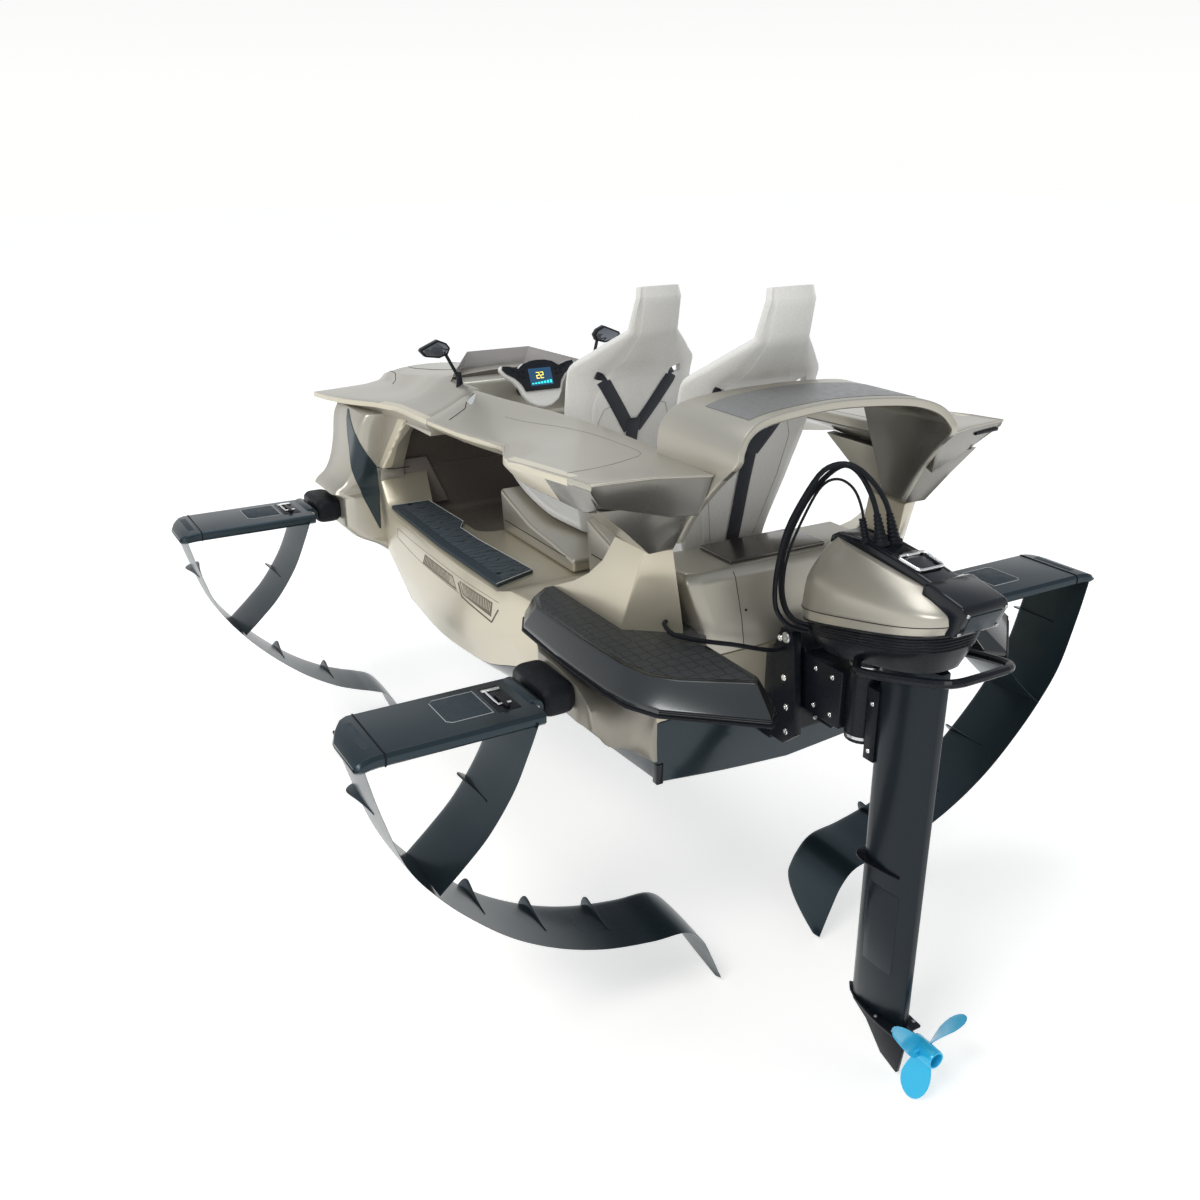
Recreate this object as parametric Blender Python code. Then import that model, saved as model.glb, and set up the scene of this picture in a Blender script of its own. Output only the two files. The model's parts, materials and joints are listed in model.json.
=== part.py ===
"""Two-seat electric hydrofoil boat: bow +X, port +Y, up +Z, metres.

The origin lies on the centreline at the waterline, midway between the front
and the rear foils.
"""
import math

import bmesh
import bpy
from mathutils import Matrix, Vector

# Driving dimensions
GAP = 0.0003
FLATNESS = 0.00002
FRONT_FOIL_X = 1.027
REAR_FOIL_X = -0.82
FOIL_FORE = 0.10
FOIL_AFT = 0.12
ARM_TOP_Z = 0.12
ARM_THICKNESS = 0.034
HINGE_Y = 0.745
HINGE_Z = 0.100
KNUCKLE_RADIUS = 0.026
BLADE_THICKNESS = 0.014
TRANSOM_X = -0.95
SILL_Z = 0.135
STERN_DECK_Z = 0.165
BOW_BASE_Z = 0.26
COCKPIT_FLOOR_Z = 0.05
WELL_REAR_X = 0.365
PLATFORM_BOTTOM_Z = STERN_DECK_Z + GAP
PLATFORM_EDGE_Z = 0.186
PLATFORM_TOP_Z = 0.24
QUARTER_BASE_Z = PLATFORM_TOP_Z + GAP
WAIST_Z = 0.475
SEAT_PITCH_X = -0.61
LOCKER_FRONT_X = -0.70
SEAT_RISE_Z = 0.06
TILT_X = -1.03
TILT_Z = 0.215
STEER_X = -1.235
STEER_TUBE_TOP_Z = 0.2226
STEER_TUBE_LOW_Z = -0.005
STEER_TUBE_RADIUS = 0.045
PROP_Z = -0.762
LEG_TOP_Z = 0.29
PROP_X = -1.535
PROP_TURN = math.radians(190.0)
YOKE_X = 0.545
YOKE_Z = 0.615
YOKE_HALF = 0.011
YOKE_RAKE = math.radians(25.0)

SIDES = (("port", 1.0), ("starboard", -1.0))


def clear_scene():
    for old in list(bpy.data.objects):
        bpy.data.objects.remove(old, do_unlink=True)


def material(name, colour, metallic, roughness, alpha=1.0):
    mat = bpy.data.materials.new(name)
    mat.use_nodes = True
    shader = mat.node_tree.nodes["Principled BSDF"]
    shader.inputs["Base Color"].default_value = (*colour, 1.0)
    shader.inputs["Metallic"].default_value = metallic
    shader.inputs["Roughness"].default_value = roughness
    shader.inputs["Alpha"].default_value = alpha
    return mat


clear_scene()
CHAMPAGNE = material("champagne_paint", (0.44, 0.40, 0.34), 0.75, 0.25)
SLATE = material("slate_paint", (0.055, 0.07, 0.08), 0.5, 0.35)
SHELL = material("seat_shell", (0.62, 0.61, 0.58), 0.1, 0.4)
GRIP = material("grip_pad", (0.05, 0.06, 0.07), 0.0, 0.8)
RUBBER = material("rubber", (0.012, 0.013, 0.018), 0.0, 0.6)
BLACK = material("black_casting", (0.012, 0.013, 0.016), 0.4, 0.35)
GLASS = material("tinted_screen", (0.25, 0.23, 0.24), 0.0, 0.08, 0.55)
WEB = material("webbing", (0.01, 0.012, 0.02), 0.0, 0.85)
CYAN = material("propeller_blue", (0.03, 0.45, 0.72), 0.2, 0.3)
PANEL = material("display_panel", (0.02, 0.05, 0.06), 0.0, 0.2)


def finish(obj, mat):
    obj.data.materials.append(mat)
    return obj


def is_bent(face):
    centre = face.calc_center_median()
    return any(abs((v.co - centre).dot(face.normal)) > FLATNESS for v in face.verts)


def mesh_object(name, verts, faces, mat):
    """A closed mesh whose faces are turned outwards; bent faces become triangles."""
    mesh = bpy.data.meshes.new(name)
    mesh.from_pydata([tuple(v) for v in verts], [], faces)
    bm = bmesh.new()
    bm.from_mesh(mesh)
    bmesh.ops.recalc_face_normals(bm, faces=bm.faces)
    bmesh.ops.triangulate(bm, faces=[face for face in bm.faces if is_bent(face)])
    bm.to_mesh(mesh)
    bm.free()
    obj = bpy.data.objects.new(name, mesh)
    bpy.context.scene.collection.objects.link(obj)
    return finish(obj, mat)


def loft(name, rings, mat):
    """Closed skin over equal rings of points, with flat end caps."""
    count = len(rings[0])
    verts = [p for ring in rings for p in ring]
    faces = []
    for i in range(len(rings) - 1):
        for j in range(count):
            k = (j + 1) % count
            a = i * count
            b = a + count
            faces.append((a + j, a + k, b + k, b + j))
    faces.append(tuple(range(count)))
    last = (len(rings) - 1) * count
    faces.append(tuple(last + j for j in range(count)))
    return mesh_object(name, verts, faces, mat)


def mirrored(half):
    """Full section from the points of its port half, lowest first."""
    other = [(x, -y, z) for x, y, z in reversed(half) if y > 1e-6]
    return list(half) + other


def prism(name, outline, low, high, mat, axis="z", side=1.0):
    """Outline extruded along an axis; the outline gives the other two."""
    def place(a, b, c):
        if axis == "z":
            return (a, b * side, c)
        if axis == "y":
            return (a, c * side, b)
        return (c, a * side, b)
    rings = [[place(a, b, low) for a, b in outline],
             [place(a, b, high) for a, b in outline]]
    return loft(name, rings, mat)


def box(name, low, high, mat, bevel=0.0):
    (x0, y0, z0), (x1, y1, z1) = low, high
    obj = prism(name, [(x0, y0), (x1, y0), (x1, y1), (x0, y1)], z0, z1, mat)
    if bevel:
        add_bevel(obj, bevel)
    return obj


def add_bevel(obj, width, segments=2, angle=30.0):
    mod = obj.modifiers.new("Bevel", "BEVEL")
    mod.width = width
    mod.segments = segments
    mod.limit_method = "ANGLE"
    mod.angle_limit = math.radians(angle)
    return obj


def cylinder(name, start, end, radius, mat, sides=20, radius_end=None):
    """Round bar between two points."""
    start = Vector(start)
    end = Vector(end)
    axis = (end - start).normalized()
    ref = Vector((0, 0, 1)) if abs(axis.z) < 0.9 else Vector((1, 0, 0))
    u = axis.cross(ref).normalized()
    v = axis.cross(u)
    tip = radius if radius_end is None else radius_end
    rings = []
    for centre, r in ((start, radius), (end, tip)):
        rings.append([centre + (u * math.cos(t) + v * math.sin(t)) * r
                      for t in (2 * math.pi * i / sides for i in range(sides))])
    return loft(name, rings, mat)


def apply_boolean(obj, other, operation):
    mod = obj.modifiers.new(operation, "BOOLEAN")
    mod.operation = operation
    mod.solver = "EXACT"
    mod.object = other
    bpy.context.view_layer.update()
    graph = bpy.context.evaluated_depsgraph_get()
    mesh = bpy.data.meshes.new_from_object(obj.evaluated_get(graph))
    obj.modifiers.clear()
    old = obj.data
    obj.data = mesh
    bpy.data.meshes.remove(old)
    bpy.data.objects.remove(other, do_unlink=True)
    return obj


def union(obj, *others):
    for other in others:
        apply_boolean(obj, other, "UNION")
    return obj


def cut(obj, *others):
    for other in others:
        apply_boolean(obj, other, "DIFFERENCE")
    return obj


def fit_against(obj, *neighbours):
    """Cuts an object back where it meets its neighbours, with a fine gap."""
    for other in neighbours:
        graph = bpy.context.evaluated_depsgraph_get()
        mesh = bpy.data.meshes.new_from_object(other.evaluated_get(graph))
        normals = [v.normal.copy() for v in mesh.vertices]
        for vertex, normal in zip(mesh.vertices, normals):
            vertex.co += normal * 2.5 * GAP
        grown = bpy.data.objects.new("grown", mesh)
        bpy.context.scene.collection.objects.link(grown)
        apply_boolean(obj, grown, "DIFFERENCE")
    return obj


def other_side(obj):
    """Starboard twin of a port piece."""
    mesh = obj.data.copy()
    mesh.transform(Matrix.Scale(-1.0, 4, (0.0, 1.0, 0.0)))
    mesh.flip_normals()
    twin = bpy.data.objects.new(obj.name.replace("port", "starboard"), mesh)
    bpy.context.scene.collection.objects.link(twin)


def smooth_path(points, steps):
    """Catmull-Rom curve through points of any dimension."""
    pts = [Vector(p) for p in points]
    pts = [pts[0] * 2 - pts[1]] + pts + [pts[-1] * 2 - pts[-2]]
    out = []
    for i in range(1, len(pts) - 2):
        for s in range(steps):
            t = s / steps
            p0, p1, p2, p3 = pts[i - 1:i + 3]
            out.append(0.5 * ((2 * p1) + (p2 - p0) * t
                              + (2 * p0 - 5 * p1 + 4 * p2 - p3) * t * t
                              + (3 * p1 - p0 - 3 * p2 + p3) * t ** 3))
    out.append(pts[-2])
    return out


def tube(name, points, radius, mat, steps=6):
    """Flexible line on a smooth route, as a bevelled curve with caps."""
    curve = bpy.data.curves.new(name, "CURVE")
    curve.dimensions = "3D"
    curve.bevel_depth = radius
    curve.bevel_resolution = 2
    curve.use_fill_caps = True
    route = smooth_path(points, steps)
    spline = curve.splines.new("POLY")
    spline.points.add(len(route) - 1)
    for point, place in zip(spline.points, route):
        point.co = (*place, 1.0)
    obj = bpy.data.objects.new(name, curve)
    bpy.context.scene.collection.objects.link(obj)
    return finish(obj, mat)


def join_axis(obj, pivot, name):
    """Parents a moving piece to an empty on its joint's axis."""
    empty = bpy.data.objects.get(name)
    if empty is None:
        empty = bpy.data.objects.new(name, None)
        empty.location = pivot
        bpy.context.scene.collection.objects.link(empty)
    obj.parent = empty
    obj.matrix_parent_inverse = Matrix.Translation(-Vector(pivot))
    return obj


# Hull below the sills

# Station: x, chine half beam, chine z, bilge half beam, bilge z, keel z,
# side half beam, side z, sill half beam, top z
HULL_STATIONS = (
    (-0.95, 0.440, 0.02, 0.430, -0.160, -0.20, 0.440, 0.08, 0.440, STERN_DECK_Z),
    (-0.60, 0.440, 0.02, 0.425, -0.185, -0.23, 0.450, 0.08, 0.450, STERN_DECK_Z),
    (-0.42, 0.440, 0.00, 0.420, -0.195, -0.25, 0.480, 0.06, 0.490, STERN_DECK_Z),
    (-0.25, 0.450, -0.10, 0.415, -0.210, -0.27, 0.505, 0.00, 0.515, STERN_DECK_Z),
    (-0.16, 0.452, -0.135, 0.413, -0.222, -0.28, 0.510, -0.02, 0.520, SILL_Z),
    (0.10, 0.460, -0.215, 0.405, -0.260, -0.31, 0.525, -0.06, 0.530, SILL_Z),
    (0.45, 0.460, -0.245, 0.390, -0.285, -0.33, 0.520, -0.08, 0.525, SILL_Z),
    (0.80, 0.440, -0.235, 0.350, -0.275, -0.32, 0.495, -0.06, 0.505, SILL_Z),
    (0.95, 0.415, -0.205, 0.310, -0.250, -0.30, 0.475, -0.03, 0.490, BOW_BASE_Z),
    (1.15, 0.355, -0.145, 0.250, -0.200, -0.25, 0.425, 0.01, 0.450, BOW_BASE_Z),
    (1.45, 0.215, -0.030, 0.140, -0.095, -0.14, 0.275, 0.09, 0.310, BOW_BASE_Z),
    (1.70, 0.090, 0.080, 0.050, 0.030, 0.00, 0.120, 0.15, 0.150, BOW_BASE_Z),
)


def hull_bottom():
    rings = []
    for x, yc, zc, yb, zb, zk, _, _, _, _ in HULL_STATIONS:
        rings.append(mirrored([(x, 0.0, zk), (x, yb, zb), (x, yc, zc), (x, 0.0, zc)]))
    return loft("hull_bottom", rings, SLATE)


def hull_shell():
    rings = []
    for x, yc, zc, _, _, _, ym, zm, ys, zt in HULL_STATIONS:
        rings.append(mirrored([(x, 0.0, zc + GAP), (x, yc, zc + GAP), (x, ym, zm),
                               (x, ys, zt - 0.01), (x, ys - 0.012, zt), (x, 0.0, zt)]))
    hull = loft("hull_shell", rings, CHAMPAGNE)
    well = prism("well_cutter", [(0.93, 0.30), (0.80, 0.33), (0.40, 0.33), (WELL_REAR_X, 0.29),
                                 (WELL_REAR_X, -0.29), (0.40, -0.33), (0.80, -0.33),
                                 (0.93, -0.30)], COCKPIT_FLOOR_Z, 0.40, CHAMPAGNE)
    return cut(hull, well)


# Bow and its side spikes

# Station: x, base half beam, base z, side half beam, side z, lip half beam,
# lip z, hollow half beam, hollow z, pod half beam, pod z, crown z
BOW_STATIONS = (
    (0.50, 0.505, SILL_Z, 0.440, 0.480, 0.455, 0.508, 0.360, 0.560, 0.270, 0.612, 0.615),
    (0.80, 0.505, SILL_Z, 0.440, 0.465, 0.452, 0.497, 0.350, 0.545, 0.260, 0.602, 0.622),
    (0.95, 0.488, BOW_BASE_Z, 0.445, 0.450, 0.480, 0.487, 0.340, 0.525, 0.250, 0.582, 0.602),
    (1.15, 0.450, BOW_BASE_Z, 0.430, 0.430, 0.535, 0.470, 0.310, 0.500, 0.230, 0.550, 0.570),
    (1.35, 0.360, BOW_BASE_Z, 0.360, 0.410, 0.553, 0.452, 0.280, 0.480, 0.215, 0.520, 0.540),
    (1.48, 0.295, BOW_BASE_Z, 0.300, 0.395, 0.550, 0.440, 0.250, 0.465, 0.200, 0.500, 0.520),
    (1.60, 0.220, BOW_BASE_Z, 0.240, 0.380, 0.300, 0.425, 0.215, 0.452, 0.185, 0.485, 0.505),
    (1.70, 0.150, BOW_BASE_Z, 0.173, 0.367, 0.223, 0.412, 0.185, 0.437, 0.162, 0.462, 0.482),
    (1.75, 0.090, BOW_BASE_Z + 0.04, 0.140, 0.360, 0.185, 0.405, 0.170, 0.430, 0.150, 0.450, 0.470),
)


def bow_ring(row):
    x, yb, zb, ys, zs, yl, zl, yh, zh, yp, zp, zt = row
    return mirrored([(x, 0.0, zb + GAP), (x, yb, zb + GAP), (x, ys, zs), (x, yl, zl),
                     (x, yl, zl + 0.018), (x, yh, zh), (x, yp, zp), (x, 0.0, zt)])


def bow_deck():
    bow = loft("bow_deck", [bow_ring(row) for row in BOW_STATIONS], CHAMPAGNE)
    legs = prism("leg_space", [(0.30, 0.10), (0.93, 0.10), (0.93, 0.30), (0.86, 0.42),
                               (0.72, 0.468), (0.30, 0.472)], -0.40, 0.40, CHAMPAGNE, "y")
    side = prism("side_opening", [(0.30, 0.10), (0.885, 0.10), (0.905, 0.26), (0.76, 0.462),
                                  (0.30, 0.470)], -0.70, 0.70, CHAMPAGNE, "y")
    hatch = prism("dash_opening", [(0.30, -0.262), (0.76, -0.25), (0.76, 0.25), (0.30, 0.262)],
                  0.40, 0.80, CHAMPAGNE)
    return cut(bow, legs, side, hatch)


# Side decks, wings and arch

# Behind the arch's front edge the wing starts at the arch's outer face
WING_ROOT_Y = 0.3622
# Station: x, lip half beam, lip z, coaming half beam, coaming z, edge depth, inner depth
SIDE_STATIONS = (
    (0.50 - GAP, 0.455, 0.508, 0.275, 0.612, 0.030, 0.072),
    (0.25, 0.450, 0.518, 0.282, 0.628, 0.030, 0.076),
    (0.00, 0.452, 0.540, 0.290, 0.648, 0.032, 0.078),
    (-0.15, 0.475, 0.562, 0.295, 0.660, 0.036, 0.074),
    (-0.35, 0.570, 0.592, 0.305, 0.672, 0.045, 0.066),
    (-0.54, 0.645, 0.628, 0.315, 0.682, 0.052, 0.062),
    (-0.72, 0.656, 0.652, 0.328, 0.687, 0.065, 0.090),
    (-0.770, 0.656, 0.657, 0.333, 0.688, 0.068, 0.100),
    (-0.790, 0.6562, 0.660, WING_ROOT_Y, 0.688, 0.070, 0.103),
    (-0.88, 0.657, 0.668, WING_ROOT_Y, 0.690, 0.075, 0.118),
)
# Raked rear edge of a wing, in the order of a station's ring
WING_REAR_EDGE = ((-0.990, 0.655, 0.676), (-0.994, 0.655, 0.694), (-1.022, 0.500, 0.698),
                  (-1.050, WING_ROOT_Y, 0.690), (-1.020, 0.376, 0.586), (-0.950, 0.440, 0.572),
                  (-0.945, 0.600, 0.616))


def wing_deck():
    rings = []
    for x, yl, zl, yc, zc, edge, inner in SIDE_STATIONS:
        ym = 0.5 * (yl + yc)
        zm = 0.5 * (zl + zc) - 0.008
        rings.append([(x, yl, zl), (x, yl, zl + 0.018), (x, ym, zm + 0.012), (x, yc, zc),
                      (x, yc, zc - 0.03), (x, yc + 0.09, zc - inner - 0.005),
                      (x, yl - 0.045, zl - edge)])
    rings.append(list(WING_REAR_EDGE))
    return loft("wing_deck_port", rings, CHAMPAGNE)


# Faceted strut from the quarter's waist out to the wing's tip: height and plan corners
STRUT_LEVELS = (
    (WAIST_Z + GAP, ((-0.926, 0.456), (-0.800, 0.456), (-0.800, 0.384), (-0.923, 0.384))),
    (0.545, ((-0.938, 0.530), (-0.690, 0.520), (-0.700, 0.372), (-0.960, 0.372))),
    (0.612, ((-0.950, 0.610), (-0.560, 0.590), (-0.600, 0.365), (-0.990, 0.365))),
)


def wing_bracket():
    rings = []
    for z, outline in STRUT_LEVELS:
        rings.append([(x, y, z) for x, y in outline])
    return loft("wing_bracket_port", rings, CHAMPAGNE)


# Front edge of the quarter as height and x: the curve behind the side opening
QUARTER_FRONT = ((QUARTER_BASE_Z, -0.450), (0.262, -0.500), (0.295, -0.570), (0.340, -0.645),
                 (0.395, -0.710), (WAIST_Z, -0.762))


def quarter(side_name, side):
    rings = []
    for z, front in QUARTER_FRONT:
        rise = (z - QUARTER_BASE_Z) / (WAIST_Z - QUARTER_BASE_Z)
        inner = 0.345 + 0.039 * rise
        outer = 0.478 - 0.022 * rise
        heel = front - 0.17 + 0.152 * rise
        rings.append([(-0.925, side * inner, z), (-0.820 - 0.080 * rise, side * (outer - 0.004), z),
                      (front, side * outer, z), (front, side * (outer - 0.024), z),
                      (heel, side * inner, z)])
    return loft("quarter_" + side_name, rings, CHAMPAGNE)


# Arch half: y, z, front x, rear x
ARCH_HALF = (
    (0.000, 0.826, -0.790, -1.050),
    (0.130, 0.822, -0.785, -1.060),
    (0.240, 0.812, -0.780, -1.075),
    (0.303, 0.792, -0.778, -1.098),
    (0.336, 0.760, -0.780, -1.114),
    (0.350, 0.725, -0.785, -1.118),
    (0.360, 0.665, -0.800, -1.060),
    (0.374, 0.580, -0.825, -0.990),
    (0.382, 0.490, -0.850, -0.935),
)


def rear_arch():
    full = [(-y, z, a, b) for y, z, a, b in reversed(ARCH_HALF)] + list(ARCH_HALF[1:])
    rings = []
    for i, (y, z, front, rear) in enumerate(full):
        before = full[max(i - 1, 0)]
        after = full[min(i + 1, len(full) - 1)]
        along = Vector((after[0] - before[0], after[1] - before[1])).normalized()
        inward = Vector((along.y, -along.x))
        inner_y = y + inward.x * 0.024
        inner_z = z + inward.y * 0.024
        rings.append([(front, y, z), (rear, y, z), (rear + 0.004, inner_y, inner_z),
                      (front - 0.004, inner_y, inner_z)])
    return loft("rear_arch", rings, CHAMPAGNE)


# Foil mounts, boots and foils

def foil_stations():
    for end, x in (("front", FRONT_FOIL_X), ("rear", REAR_FOIL_X)):
        for side_name, side in SIDES:
            yield end + "_" + side_name, x, side


BOOT_Y0 = 0.630
BOOT_Y1 = HINGE_Y - KNUCKLE_RADIUS - 0.0008

# Front mount by height: rear x, front x and outer half beam
HORN_LEVELS = (
    (-0.088, 0.940, 1.200, 0.455),
    (-0.050, 0.935, 1.200, 0.505),
    (-0.008, 0.935, 1.195, 0.582),
    (0.040, 0.935, 1.195, BOOT_Y0 - GAP),
    (0.152, 0.935, 1.200, BOOT_Y0 - GAP),
    (0.172, 0.938, 1.200, 0.667),
    (0.182, 0.942, 1.200, 0.662),
    (0.212, 0.940, 1.210, 0.622),
    (0.262, 0.935, 1.225, 0.590),
    (0.335, 0.935, 1.245, 0.566),
    (0.420, 0.935, 1.265, 0.548),
    (0.462, 0.935, 1.275, 0.525),
)


def front_mount(side_name, side):
    """Horn that flares from under the bow's lip out to the boot."""
    rings = []
    for z, x0, x1, y in HORN_LEVELS:
        rings.append([(x0, side * 0.40, z), (x0, side * (y - 0.045), z),
                      (x0 + 0.014, side * (y - 0.010), z), (x0 + 0.040, side * y, z),
                      (x1 - 0.030, side * y, z), (x1 - 0.006, side * (y - 0.016), z),
                      (x1 + 0.016, side * (y - 0.070), z), (x1 + 0.020, side * 0.36, z)])
    return loft("foil_mount_front_" + side_name, rings, CHAMPAGNE)


# Rear mount along its crease: hull edge, hollow, crease, lower edge and hull edge below
SCOOP = (
    ((-0.400, 0.430, 0.1645), (-0.410, 0.460, 0.160), (-0.420, 0.485, 0.150), (-0.420, 0.482, 0.090),
     (-0.400, 0.430, 0.070)),
    ((-0.550, 0.430, 0.1645), (-0.550, 0.530, 0.160), (-0.550, 0.580, 0.152), (-0.550, 0.565, 0.060),
     (-0.550, 0.430, 0.020)),
    ((-0.660, 0.430, 0.1645), (-0.660, 0.560, 0.157), (-0.660, BOOT_Y0 - GAP, 0.151),
     (-0.660, BOOT_Y0 - GAP, 0.045), (-0.660, 0.430, -0.010)),
    ((-0.760, 0.430, 0.1645), (-0.760, 0.555, 0.146), (-0.760, BOOT_Y0 - GAP, 0.149),
     (-0.760, BOOT_Y0 - GAP, 0.036), (-0.760, 0.430, -0.030)),
    ((-0.830, 0.430, 0.1645), (-0.840, 0.530, 0.108), (-0.868, BOOT_Y0 - GAP, 0.136),
     (-0.868, BOOT_Y0 - GAP, 0.034), (-0.830, 0.430, -0.045)),
    ((-0.880, 0.430, 0.1620), (-0.888, 0.505, 0.070), (-0.918, 0.618, 0.086), (-0.908, 0.602, 0.014),
     (-0.860, 0.430, -0.062)),
    ((-0.910, 0.430, 0.1400), (-0.910, 0.480, 0.040), (-0.916, 0.572, 0.020), (-0.894, 0.552, -0.046),
     (-0.880, 0.430, -0.080)),
    ((-0.930, 0.430, 0.1050), (-0.926, 0.458, 0.018), (-0.912, 0.500, -0.026), (-0.896, 0.488, -0.072),
     (-0.900, 0.430, -0.090)),
    ((-0.949, 0.430, 0.0600), (-0.949, 0.448, 0.002), (-0.949, 0.450, -0.055), (-0.949, 0.446, -0.095),
     (-0.949, 0.425, -0.100)),
)


def rear_mount(side_name, side):
    """Hollowed fairing under the platform that carries the rear boot."""
    rings = []
    for row in SCOOP:
        rings.append([(x, side * y, z) for x, y, z in row])
    return loft("foil_mount_rear_" + side_name, rings, CHAMPAGNE)


def boot(label, x, side):
    obj = box("boot_" + label, (x - 0.052, side * BOOT_Y0, 0.058), (x + 0.150, side * BOOT_Y1, 0.146),
              RUBBER)
    return add_bevel(obj, 0.018, 2)


# Outer strut and tail, as y and z, from the arm's end to the tail's tip; the rear foils reach
# further inboard
STRUT_PATH = ((1.214, 0.098), (1.206, 0.060), (1.180, -0.040), (1.130, -0.190), (1.055, -0.303),
              (0.960, -0.408), (0.850, -0.505))
TAIL_PATHS = {
    "front": ((0.740, -0.577), (0.655, -0.616), (0.590, -0.640), (0.532, -0.668), (0.492, -0.722),
              (0.466, -0.790), (0.445, -0.862)),
    "rear": ((0.720, -0.585), (0.580, -0.642), (0.430, -0.675), (0.318, -0.688), (0.262, -0.735),
             (0.225, -0.810), (0.188, -0.900)),
}
BAND_PATH = ((0.772, 0.100), (0.800, 0.030), (0.846, -0.070), (0.915, -0.170), (0.985, -0.240),
             (1.052, -0.299))


def blade(name, path, steps, fore, aft, mat, sweep=None):
    """Thin foil section carried along a path in the Y-Z plane."""
    line = smooth_path([(y, z) for y, z in path], steps)
    rings = []
    for i, p in enumerate(line):
        q0 = line[max(i - 1, 0)]
        q1 = line[min(i + 1, len(line) - 1)]
        along = (q1 - q0).normalized()
        n = Vector((-along.y, along.x)) * (BLADE_THICKNESS / 2)
        lead = fore
        if sweep:
            lead = fore - sweep(i / (len(line) - 1))
        chord = lead - aft
        ring = []
        for along_x, half in ((0.0, 0.0), (0.10, 0.7), (0.35, 1.0), (0.80, 0.5), (1.0, 0.0),
                              (0.80, -0.5), (0.35, -1.0), (0.10, -0.7)):
            ring.append((lead - chord * along_x, p.x + n.x * half, p.y + n.y * half))
        rings.append(ring)
    return loft(name, rings, mat)


# Arm and its outer cap: half beam, fore and aft edges from the foil's x, top and low z
ARM_LOW_Z = ARM_TOP_Z - ARM_THICKNESS
ARM_STATIONS = (
    (HINGE_Y + 0.004, 0.125, -0.115, ARM_TOP_Z, ARM_LOW_Z),
    (1.176, 0.125, -0.115, ARM_TOP_Z, ARM_LOW_Z),
    (1.210, 0.090, -0.122, ARM_TOP_Z - 0.002, ARM_LOW_Z),
    (1.228, 0.060, -0.124, ARM_TOP_Z - 0.008, ARM_LOW_Z),
    (1.237, 0.035, -0.118, ARM_TOP_Z - 0.013, ARM_LOW_Z + 0.001),
)


def tip_sweep(t):
    start = 0.90
    return 0.0 if t < start else 0.19 * ((t - start) / (1 - start)) ** 2


def foil(label, x, side):
    fore = x + FOIL_FORE
    aft = x - FOIL_AFT
    rings = []
    for y, arm_fore, arm_aft, top, low in ARM_STATIONS:
        a = x + arm_fore
        b = x + arm_aft
        rings.append([(a, y, low + 0.010), (a, y, top - 0.008), (a - 0.012, y, top),
                      (b + 0.012, y, top), (b, y, top - 0.008), (b, y, low + 0.010),
                      (b + 0.012, y, low), (a - 0.012, y, low)])
    arm = loft("foil_" + label, rings, SLATE)
    knuckle = cylinder("knuckle", (x - 0.045, HINGE_Y, HINGE_Z), (x + 0.110, HINGE_Y, HINGE_Z),
                       KNUCKLE_RADIUS, SLATE, 24)
    strut = blade("strut", STRUT_PATH + TAIL_PATHS[label.split("_")[0]], 3, fore, aft, SLATE,
                  tip_sweep)
    band = blade("band", BAND_PATH, 3, fore, aft, SLATE)
    union(arm, knuckle, strut, band)
    if side < 0:
        for vertex in arm.data.vertices:
            vertex.co.y = -vertex.co.y
        arm.data.flip_normals()
    return join_axis(arm, (x, side * HINGE_Y, HINGE_Z), "hinge_" + label)


# Deck fittings

def step_pad(side_name, side):
    outline = [(0.80, 0.494), (0.80, 0.345), (0.49, 0.338), (0.43, 0.375), (0.28, 0.375),
               (-0.08, 0.350), (-0.14, 0.506), (0.30, 0.512)]
    return prism("step_pad_" + side_name, outline, SILL_Z + GAP, SILL_Z + 0.012, GRIP, "z", side)


def platform(side_name, side):
    top = [(-0.45, 0.500), (-0.50, 0.560), (-0.57, 0.590), (-0.82, 0.590), (-1.01, 0.579),
           (-1.093, 0.556), (-1.15, 0.505), (-1.251, 0.362), (-1.22, 0.335), (-1.01, 0.335),
           (-0.96, 0.30), (-0.45, 0.300)]
    low = [(-0.43, 0.502), (-0.475, 0.578), (-0.55, 0.618), (-0.81, 0.629), (-1.00, 0.626),
           (-1.085, 0.613), (-1.165, 0.575), (-1.337, 0.380), (-1.30, 0.335), (-1.01, 0.335),
           (-0.96, 0.30), (-0.45, 0.300)]
    rings = [[(x, side * y, PLATFORM_BOTTOM_Z) for x, y in low],
             [(x, side * y, PLATFORM_EDGE_Z) for x, y in low],
             [(x, side * y, PLATFORM_TOP_Z) for x, y in top]]
    return loft("platform_" + side_name, rings, SLATE)


def locker():
    rings = []
    x0 = LOCKER_FRONT_X
    for z, x1, y in ((STERN_DECK_Z + GAP, -0.948, 0.2995), (0.25, -0.930, 0.2995),
                     (0.352, -0.895, 0.325), (0.375, -0.875, 0.315)):
        r = 0.05
        rings.append([(x0, y, z), (x1 + r, y, z), (x1 + 0.3 * r, y - 0.3 * r, z), (x1, y - r, z),
                      (x1, -y + r, z), (x1 + 0.3 * r, -y + 0.3 * r, z), (x1 + r, -y, z), (x0, -y, z)])
    body = loft("locker_box", rings, CHAMPAGNE)
    lid = box("locker_lid", (-0.86, -0.16, 0.375 + GAP), (-0.715, 0.16, 0.385), CHAMPAGNE)
    return body, lid


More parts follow.
